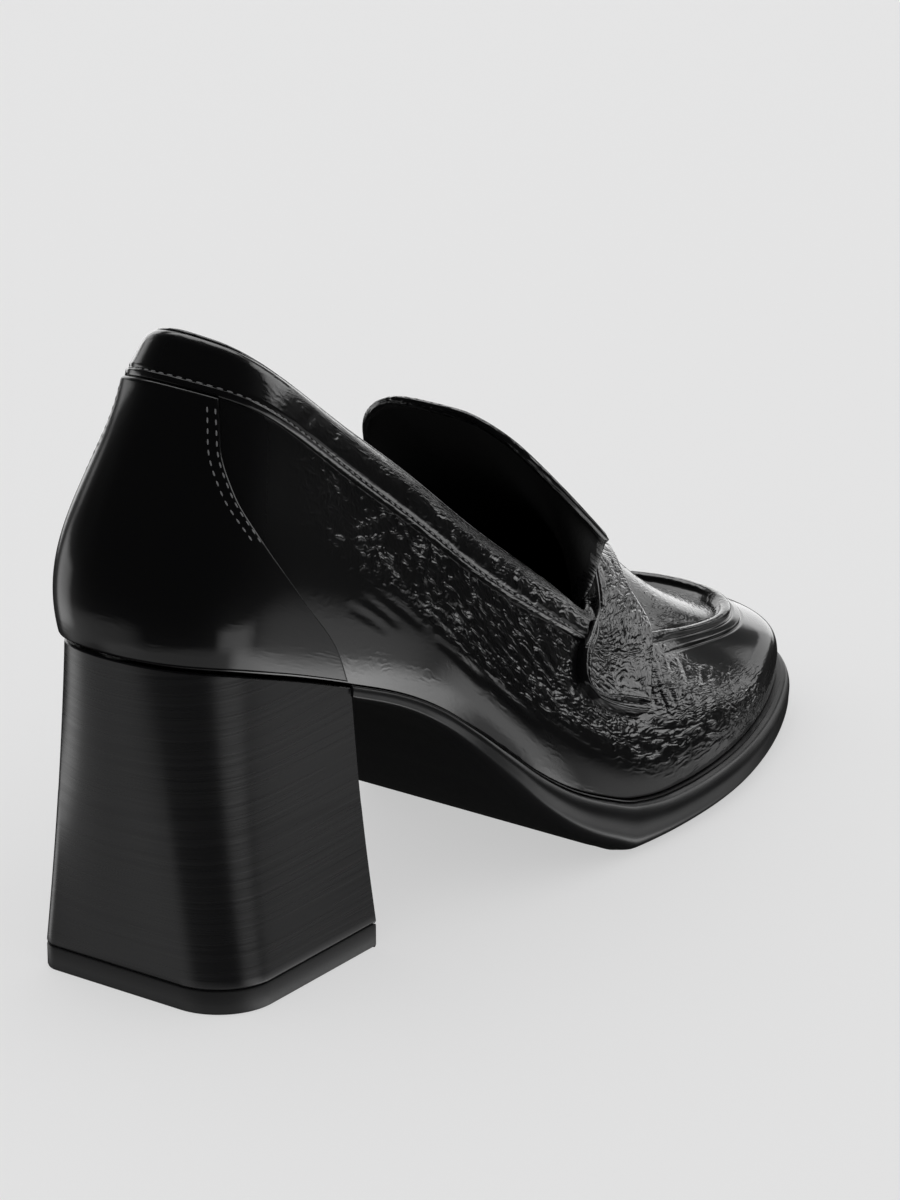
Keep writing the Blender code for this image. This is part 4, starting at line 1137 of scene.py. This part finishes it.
def make_stitches(name, lines, finish):
    """Row of thread stitches, half sunk in the leather along each line."""
    settings = shoe_settings()
    shape, quads, triangles = stitch_shape()
    placed = [stitch_places(*line) for line in lines]
    centers, ahead, out = (np.concatenate([row[k] for row in placed]) for k in range(3))
    aside = np.cross(out, ahead)
    local = shape * np.array([settings.stitch_length, settings.stitch_width, 0.8 * settings.stitch_width])
    points = (centers[:, None] + local[None, :, 0:1] * ahead[:, None] + local[None, :, 1:2] * aside[:, None]
              + local[None, :, 2:3] * out[:, None])
    start = np.arange(len(centers))[:, None, None] * len(shape)
    faces = [corners for kind in (quads, triangles)
             for corners in (kind[None] + start).reshape(-1, kind.shape[1]).tolist()]
    mesh = bpy.data.meshes.new(name)
    mesh.from_pydata(points.reshape(-1, 3).tolist(), [], faces)
    mesh.shade_smooth()
    mesh.materials.append(finish)
    made = in_scene(name, mesh)
    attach(made, "root")
    return made


def collar_stitch_lines():
    """Line along the lower edge of the collar band."""
    turn = np.linspace(0.1 - BAND_END[0], BAND_END[0] - 0.1, 400)
    climb = np.full(len(turn), 1.0 + CHANNEL_THREAD / BAND_WIDTH)
    return [(turn, climb, 0.00098)]


def counter_stitch_lines():
    """Two lines behind the counter's edge, in its upper half, on both sides."""
    climb = np.linspace(COUNTER_HEAD - 0.03, 0.50, 120)
    edge = counter_edge(climb)
    return [(side * (edge - inset), climb, GAP + COUNTER_THICKNESS - THREAD_SINK)
            for inset in (0.09, 0.24) for side in (1.0, -1.0)]


def strap_stitch_lines():
    """Line across the strap, inside each of its lower ends."""
    turn, climb, across = strap_grid()
    share = np.linspace(0.12, 0.94, 60)
    inside = 14
    turns = np.interp(share, across, turn[inside])
    climbs = np.interp(share, across, climb[inside])
    proud = GAP + STRAP_THICKNESS + STRAP_LIFT * share ** 2 - THREAD_SINK
    return [(turns, climbs, proud), (FULL_TURN - turns, climbs, proud)]


def node_tree(name):
    """New material with its shader, a function that sets or links the inputs of a node, and one that adds a
    node with its inputs and settings and gives one of its outputs."""
    made = bpy.data.materials.new(name)
    made.use_nodes = True
    tree = made.node_tree

    def feed(node, inputs):
        for key, value in inputs.items():
            if isinstance(value, bpy.types.NodeSocket):
                tree.links.new(value, node.inputs[key])
            else:
                node.inputs[key].default_value = value

    def add(kind, output, inputs=None, **settings):
        node = tree.nodes.new(kind)
        for key, value in settings.items():
            setattr(node, key, value)
        feed(node, inputs or {})
        return node.outputs[output]

    return made, tree.nodes["Principled BSDF"], feed, add


def noise(add, place, scale, detail):
    """Noise of a scale, read at a place."""
    return add("ShaderNodeTexNoise", "Fac", {"Vector": place, "Scale": scale, "Detail": detail})


def relief(add, *layers):
    """Normal of bump layers, one over the other. Each is a height, its strength and its distance."""
    normal = {}
    for height, strength, distance in layers:
        inputs = {"Height": height, "Strength": strength, "Distance": distance, **normal}
        normal = {"Normal": add("ShaderNodeBump", "Normal", inputs)}
    return normal["Normal"]


def gloss_range(add, value, low, high):
    """Roughness that follows a value from 0 to 1."""
    return add("ShaderNodeMapRange", "Result", {"Value": value, "To Min": low, "To Max": high})


def patent_finish(name, film):
    """Crinkled patent leather: a near black film with a clear gloss. The crinkle is a net of ridges that is
    drawn out along the shoe, strong where the crinkle attribute is high, over a fine grain."""
    settings = shoe_settings()
    made, shader, feed, add = node_tree(name)
    vector, value = "ShaderNodeVectorMath", "ShaderNodeMath"
    place = add("ShaderNodeUVMap", "UV", uv_map="grain")
    strength = add("ShaderNodeAttribute", "Fac", attribute_name="crinkle")
    waver = add("ShaderNodeTexNoise", "Color", {"Vector": place, "Scale": 280.0, "Detail": 1.0})
    shift = add(vector, "Vector", {0: waver, 1: (0.5, 0.5, 0.5)}, operation="SUBTRACT")
    shift = add(vector, "Vector", {0: shift, "Scale": 0.0026}, operation="SCALE")
    bent = add(vector, "Vector", {0: place, 1: shift}, operation="ADD")
    drawn = add("ShaderNodeMapping", "Vector", {"Vector": bent, "Scale": (0.32, 1.0, 1.0)})
    folds = add("ShaderNodeTexNoise", "Fac", {"Vector": drawn, "Scale": 740.0, "Detail": 1.0,
                                              "Roughness": 0.4},
                noise_type="RIDGED_MULTIFRACTAL", normalize=True)
    cracks = noise(add, bent, 1000.0, 1.0)
    patches = add("ShaderNodeMapRange", "Result", {"Value": noise(add, place, 95.0, 2.0), "From Min": 0.36,
                                                   "From Max": 0.62, "To Min": 0.55},
                  interpolation_type="SMOOTHSTEP")
    mixed = add(value, "Value", {0: cracks, 1: 0.30, 2: folds}, operation="MULTIPLY_ADD")
    amount = add(value, "Value", {0: patches, 1: strength}, operation="MULTIPLY")
    depth = add(value, "Value", {0: mixed, 1: amount}, operation="MULTIPLY")
    crinkle = relief(add, (depth, 1.0, settings.crinkle_height))
    grain = add("ShaderNodeBump", "Normal", {"Height": noise(add, place, 2200.0, 2.0), "Strength": 0.3,
                                             "Distance": 0.000010, "Normal": crinkle})
    feed(shader, {"Normal": grain, "Coat Normal": crinkle, "Base Color": (*settings.leather_color, 1.0),
                  "Roughness": settings.leather_roughness, "Specular IOR Level": 0.12, "Coat Weight": film,
                  "Coat Roughness": settings.film_roughness, "Coat IOR": 1.5})
    return made


def lining_finish(name):
    """Lining leather: black, matt, with a fine pebble."""
    made, shader, feed, add = node_tree(name)
    place = add("ShaderNodeTexCoord", "Object")
    pebble = add("ShaderNodeTexVoronoi", "Distance", {"Vector": place, "Scale": 1400.0})
    height = add("ShaderNodeMath", "Value", {0: pebble, 1: noise(add, place, 160.0, 3.0)}, operation="ADD")
    feed(shader, {"Normal": relief(add, (height, 0.5, 0.00006)), "Roughness": 0.62,
                  "Base Color": (0.0035, 0.0035, 0.0036, 1.0), "Specular IOR Level": 0.25})
    return made


def sole_finish(name):
    """Sole: black satin compound with a faint unevenness."""
    made, shader, feed, add = node_tree(name)
    place = add("ShaderNodeTexCoord", "Object")
    cloud = noise(add, place, 90.0, 4.0)
    fine = noise(add, place, 1500.0, 2.0)
    feed(shader, {"Normal": relief(add, (cloud, 0.4, 0.0002), (fine, 0.3, 0.00003)),
                  "Roughness": gloss_range(add, cloud, 0.26, 0.40),
                  "Base Color": (0.007, 0.007, 0.0075, 1.0)})
    return made


def heel_finish(name):
    """Heel: black lacquer over a stacked core, whose faint level lines show in the gloss."""
    made, shader, feed, add = node_tree(name)
    place = add("ShaderNodeTexCoord", "Object")
    level = add("ShaderNodeMapping", "Vector", {"Vector": place, "Scale": (18.0, 18.0, 900.0)})
    lines = noise(add, level, 1.0, 3.0)
    fine = noise(add, place, 1300.0, 2.0)
    feed(shader, {"Normal": relief(add, (lines, 0.5, 0.00006), (fine, 0.2, 0.00002)),
                  "Roughness": gloss_range(add, lines, 0.20, 0.34),
                  "Base Color": (0.0045, 0.0045, 0.005, 1.0)})
    return made


def lift_finish(name):
    """Top lift: black rubber, a little lighter than the heel, with a fine grit."""
    made, shader, feed, add = node_tree(name)
    grit = noise(add, add("ShaderNodeTexCoord", "Object"), 1800.0, 3.0)
    feed(shader, {"Normal": relief(add, (grit, 0.4, 0.00005)),
                  "Roughness": gloss_range(add, grit, 0.36, 0.50),
                  "Base Color": (0.012, 0.012, 0.0125, 1.0)})
    return made


def thread_finish(name):
    """Thread: dark grey, with the twist of its plies across it."""
    made, shader, feed, add = node_tree(name)
    place = add("ShaderNodeTexCoord", "Object")
    twist = add("ShaderNodeTexWave", "Fac", {"Vector": place, "Scale": 700.0, "Distortion": 1.0})
    feed(shader, {"Normal": relief(add, (twist, 0.5, 0.00005)), "Roughness": 0.34,
                  "Base Color": (0.13, 0.13, 0.133, 1.0)})
    return made


def floor_finish(name):
    """Floor: plain pale sheet that glows a little, with a hardly visible tooth."""
    settings = bpy.context.scene.loafer_stage
    made, shader, feed, add = node_tree(name)
    tooth = noise(add, add("ShaderNodeTexCoord", "Object"), 500.0, 2.0)
    feed(shader, {"Normal": relief(add, (tooth, 0.05, 0.0001)), "Base Color": (*settings.floor_color, 1.0),
                  "Roughness": 0.9, "Specular IOR Level": 0.1, "Emission Color": (1.0, 1.0, 1.0, 1.0),
                  "Emission Strength": settings.floor_glow})
    made.cycles.emission_sampling = "NONE"
    return made


def finish_named(name, make, *values):
    """Finish of this name, made once."""
    return bpy.data.materials.get(name) or make(name, *values)


def patent():
    """Crinkled patent leather."""
    return finish_named("crinkled_patent", patent_finish, 1.0)


def smooth_patent():
    """Patent leather of the counter, with a duller film."""
    return finish_named("smooth_patent", patent_finish, 0.6)


def lining():
    """Lining leather."""
    return finish_named("lining_leather", lining_finish)


def tent_finish(name):
    """Reflection tent: dark, with the soft boxes of the LIGHT_BOXES table. Each box is bounded by its
    azimuth and its elevation as seen from the shoe, with soft borders, wider across than upwards."""
    settings = bpy.context.scene.loafer_stage
    made, shader, feed, add = node_tree(name)
    vector, value = "ShaderNodeVectorMath", "ShaderNodeMath"
    place = add("ShaderNodeTexCoord", "Object")
    offset = add(vector, "Vector", {0: place, 1: SHOE_MIDDLE}, operation="SUBTRACT")
    toward = add(vector, "Vector", {0: offset}, operation="NORMALIZE")
    height = add("ShaderNodeSeparateXYZ", "Z", {"Vector": toward})
    flat = add(vector, "Vector", {0: toward, 1: (1.0, 1.0, 0.0)}, operation="MULTIPLY")
    flat = add(vector, "Vector", {0: flat}, operation="NORMALIZE")
    total = settings.room_strength
    for _, azimuth, half, low, high, border, strength in LIGHT_BOXES:
        side = (math.sin(math.radians(azimuth)), math.cos(math.radians(azimuth)), 0.0)
        across = add(vector, "Value", {0: flat, 1: side}, operation="DOT_PRODUCT")
        wide = SIDE_BORDERS * border
        within = border_range(add, across, math.cos(math.radians(min(half + wide, 180.0))),
                              math.cos(math.radians(half - wide)))
        above, below = (border_range(add, height, math.sin(math.radians(limit - step)),
                                     math.sin(math.radians(limit + step)))
                        for limit, step in ((low, border), (high, -border)))
        inside = add(value, "Value", {0: above, 1: below}, operation="MULTIPLY")
        inside = add(value, "Value", {0: inside, 1: within}, operation="MULTIPLY")
        total = add(value, "Value", {0: inside, 1: strength * settings.box_strength, 2: total},
                    operation="MULTIPLY_ADD")
    glow = add("ShaderNodeEmission", "Emission", {"Strength": total})
    feed(made.node_tree.nodes["Material Output"], {"Surface": glow})
    made.node_tree.nodes.remove(shader)
    return made


def border_range(add, value, low, high):
    """Soft step of a value between two limits."""
    return add("ShaderNodeMapRange", "Result", {"Value": value, "From Min": low, "From Max": high},
               interpolation_type="SMOOTHSTEP")


def make_tent():
    """Sphere round the shoe that only its reflections see."""
    body = bmesh.new()
    bmesh.ops.create_icosphere(body, subdivisions=4, radius=bpy.context.scene.loafer_stage.tent_radius)
    bmesh.ops.translate(body, verts=body.verts, vec=SHOE_MIDDLE)
    bmesh.ops.reverse_faces(body, faces=body.faces)
    mesh = bpy.data.meshes.new("reflection_tent")
    body.to_mesh(mesh)
    body.free()
    mesh.materials.append(tent_finish("reflection_tent"))
    made = in_scene("reflection_tent", mesh)
    made.visible_camera = False
    made.visible_diffuse = False
    made.visible_transmission = False
    made.visible_volume_scatter = False
    made.visible_shadow = False
    return made


def make_floor():
    """Flat pale floor, which the shoe's gloss doesn't see."""
    half = bpy.context.scene.loafer_stage.floor_half
    mesh = bpy.data.meshes.new("floor")
    corners = [(-half, -half, 0.0), (half, -half, 0.0), (half, half, 0.0), (-half, half, 0.0)]
    mesh.from_pydata(corners, [], [(0, 1, 2, 3)])
    mesh.materials.append(floor_finish("pale_floor"))
    made = in_scene("floor", mesh)
    made.visible_glossy = False
    made.visible_shadow = False
    return made


def make_camera():
    """Camera at the photo's viewing angle, aimed at the middle of the shoe."""
    lens = bpy.data.cameras.new("camera")
    lens.sensor_width = 36.0
    lens.lens = bpy.context.scene.loafer_stage.lens
    lens.clip_start = 0.05
    lens.clip_end = 30.0
    made = in_scene("camera", lens)
    made.location = CAMERA_PLACE
    made.rotation_euler = (Vector(CAMERA_TARGET) - Vector(CAMERA_PLACE)).to_track_quat("-Z", "Y").to_euler()
    bpy.context.scene.camera = made
    return made


class LeatherSettings(bpy.types.PropertyGroup):
    """Sizes and finish of the leather and its stitches."""

    leather_color: bpy.props.FloatVectorProperty(
        name="Leather colour", description="Colour under the clear film", subtype="COLOR", size=3,
        min=0.0, max=1.0, default=(0.0025, 0.0025, 0.0028))
    leather_roughness: bpy.props.FloatProperty(
        name="Leather roughness", description="Roughness under the clear film", subtype="FACTOR",
        min=0.0, max=1.0, default=0.35)
    film_roughness: bpy.props.FloatProperty(
        name="Film roughness", description="Roughness of the clear film", subtype="FACTOR",
        min=0.0, max=1.0, default=0.035)
    crinkle_height: bpy.props.FloatProperty(
        name="Crinkle height", description="Height of the fine crinkle at its strongest",
        subtype="DISTANCE", unit="LENGTH", min=0.0, max=0.002, precision=5, default=0.00060)
    stitch_pitch: bpy.props.FloatProperty(
        name="Stitch pitch", description="From one stitch to the next", subtype="DISTANCE", unit="LENGTH",
        min=0.001, max=0.01, precision=4, default=0.0022)
    stitch_length: bpy.props.FloatProperty(
        name="Stitch length", description="Length of the visible thread", subtype="DISTANCE", unit="LENGTH",
        min=0.0005, max=0.01, precision=4, default=0.0015)
    stitch_width: bpy.props.FloatProperty(
        name="Thread width", description="Width of the thread", subtype="DISTANCE", unit="LENGTH",
        min=0.0002, max=0.002, precision=4, default=0.0005)


class StageSettings(bpy.types.PropertyGroup):
    """Floor, light and camera."""

    floor_color: bpy.props.FloatVectorProperty(
        name="Floor colour", description="Colour of the floor", subtype="COLOR", size=3,
        min=0.0, max=1.0, default=(0.316, 0.316, 0.318))
    floor_glow: bpy.props.FloatProperty(
        name="Floor glow", description="Light of the floor itself, that keeps its shadows pale", min=0.0,
        max=2.0, default=0.52)
    floor_half: bpy.props.FloatProperty(
        name="Floor", description="Half the side of the floor", subtype="DISTANCE", unit="LENGTH",
        min=1.0, max=20.0, default=6.0)
    sky_strength: bpy.props.FloatProperty(
        name="Soft light", description="Strength of the even light from all round", min=0.0, max=10.0,
        default=0.76)
    room_strength: bpy.props.FloatProperty(
        name="Room", description="Strength of the dim room between the soft boxes", min=0.0, max=1.0,
        default=0.012)
    box_strength: bpy.props.FloatProperty(
        name="Soft boxes", description="Strength of the soft boxes that the leather reflects", min=0.0,
        max=10.0, default=1.0)
    tent_radius: bpy.props.FloatProperty(
        name="Tent", description="Radius of the reflection tent", subtype="DISTANCE", unit="LENGTH",
        min=1.5, max=20.0, default=3.0)
    lens: bpy.props.FloatProperty(
        name="Lens", description="Focal length for a frame 36 mm high", subtype="DISTANCE_CAMERA",
        min=20.0, max=400.0, default=160.0)


class MakeUpper(bpy.types.Operator):
    """Upper with its moc seam, apron and lining"""

    bl_idname = "loafer.upper"
    bl_label = "Upper"

    def execute(self, context):
        make_upper_shell([patent(), lining()])
        return {"FINISHED"}


class MakeCounter(bpy.types.Operator):
    """Counter over the quarters"""

    bl_idname = "loafer.counter"
    bl_label = "Counter"

    def execute(self, context):
        make_counter_panel([smooth_patent()])
        return {"FINISHED"}


class MakeCollar(bpy.types.Operator):
    """Padded collar band"""

    bl_idname = "loafer.collar"
    bl_label = "Collar band"

    def execute(self, context):
        made = make_collar_padding([patent()])
        return {"FINISHED"}


class MakeStrap(bpy.types.Operator):
    """Saddle strap with its rolled bead"""

    bl_idname = "loafer.strap"
    bl_label = "Saddle strap"

    def execute(self, context):
        make_strap([patent()])
        return {"FINISHED"}


class MakeTongue(bpy.types.Operator):
    """Tongue with its folded edge"""

    bl_idname = "loafer.tongue"
    bl_label = "Tongue"

    def execute(self, context):
        make_tongue_panel([patent(), lining()])
        return {"FINISHED"}


class MakeSock(bpy.types.Operator):
    """Sock on the insole"""

    bl_idname = "loafer.sock"
    bl_label = "Sock"

    def execute(self, context):
        make_sock([lining()])
        return {"FINISHED"}


class MakeSole(bpy.types.Operator):
    """Outsole from the heel breast to the toe"""

    bl_idname = "loafer.sole"
    bl_label = "Outsole"

    def execute(self, context):
        make_sole([finish_named("sole_compound", sole_finish)])
        return {"FINISHED"}


class MakeHeel(bpy.types.Operator):
    """Heel block and its top lift"""

    bl_idname = "loafer.heel"
    bl_label = "Heel"

    def execute(self, context):
        make_heel_stack([finish_named("heel_lacquer", heel_finish)])
        make_heel_lift([finish_named("lift_rubber", lift_finish)])
        return {"FINISHED"}


class MakeStitching(bpy.types.Operator):
    """Stitch rows of the collar, the counter and the strap"""

    bl_idname = "loafer.stitching"
    bl_label = "Stitching"

    def execute(self, context):
        thread = finish_named("black_thread", thread_finish)
        make_stitches("collar_stitches", collar_stitch_lines(), thread)
        make_stitches("counter_stitches", counter_stitch_lines(), thread)
        make_stitches("strap_stitches", strap_stitch_lines(), thread)
        return {"FINISHED"}


class MakeStage(bpy.types.Operator):
    """Floor, soft light and camera"""

    bl_idname = "loafer.stage"
    bl_label = "Stage"

    def execute(self, context):
        settings = context.scene.loafer_stage
        make_floor()
        make_tent()
        world = bpy.data.worlds.new("studio")
        world.use_nodes = True
        world.node_tree.nodes["Background"].inputs["Color"].default_value = (1.0, 1.0, 1.0, 1.0)
        world.node_tree.nodes["Background"].inputs["Strength"].default_value = settings.sky_strength
        context.scene.world = world
        world.cycles_visibility.glossy = False
        context.scene.view_settings.view_transform = "Standard"
        make_camera()
        return {"FINISHED"}


class LoaferPanel(bpy.types.Panel):
    """Makes the shoe's pieces one by one"""

    bl_idname = "VIEW3D_PT_loafer_pump"
    bl_label = "Loafer pump"
    bl_space_type = "VIEW_3D"
    bl_region_type = "UI"
    bl_category = "Loafer pump"

    def draw(self, context):
        layout = self.layout
        leather_box = layout.box()
        for name in LeatherSettings.__annotations__:
            leather_box.prop(context.scene.loafer_leather, name)
        stage_box = layout.box()
        for name in StageSettings.__annotations__:
            stage_box.prop(context.scene.loafer_stage, name)
        for operator in OPERATORS:
            layout.operator(operator.bl_idname)


OPERATORS = (MakeUpper, MakeCounter, MakeCollar, MakeStrap, MakeTongue, MakeSock, MakeSole, MakeHeel,
             MakeStitching, MakeStage)
CLASSES = (LeatherSettings, StageSettings) + OPERATORS + (LoaferPanel,)


def register():
    """Make the settings, operators and panel known to Blender."""
    for item in CLASSES:
        bpy.utils.register_class(item)
    bpy.types.Scene.loafer_leather = bpy.props.PointerProperty(type=LeatherSettings)
    bpy.types.Scene.loafer_stage = bpy.props.PointerProperty(type=StageSettings)


def unregister():
    """Take them away again."""
    del bpy.types.Scene.loafer_stage
    del bpy.types.Scene.loafer_leather
    for item in reversed(CLASSES):
        bpy.utils.unregister_class(item)


def main():
    """Make every piece and the stage."""
    register()
    loafer = bpy.ops.loafer
    for make in (loafer.upper, loafer.counter, loafer.collar, loafer.strap, loafer.tongue, loafer.sock,
                 loafer.sole, loafer.heel, loafer.stitching, loafer.stage):
        make()


if __name__ == "__main__":
    main()
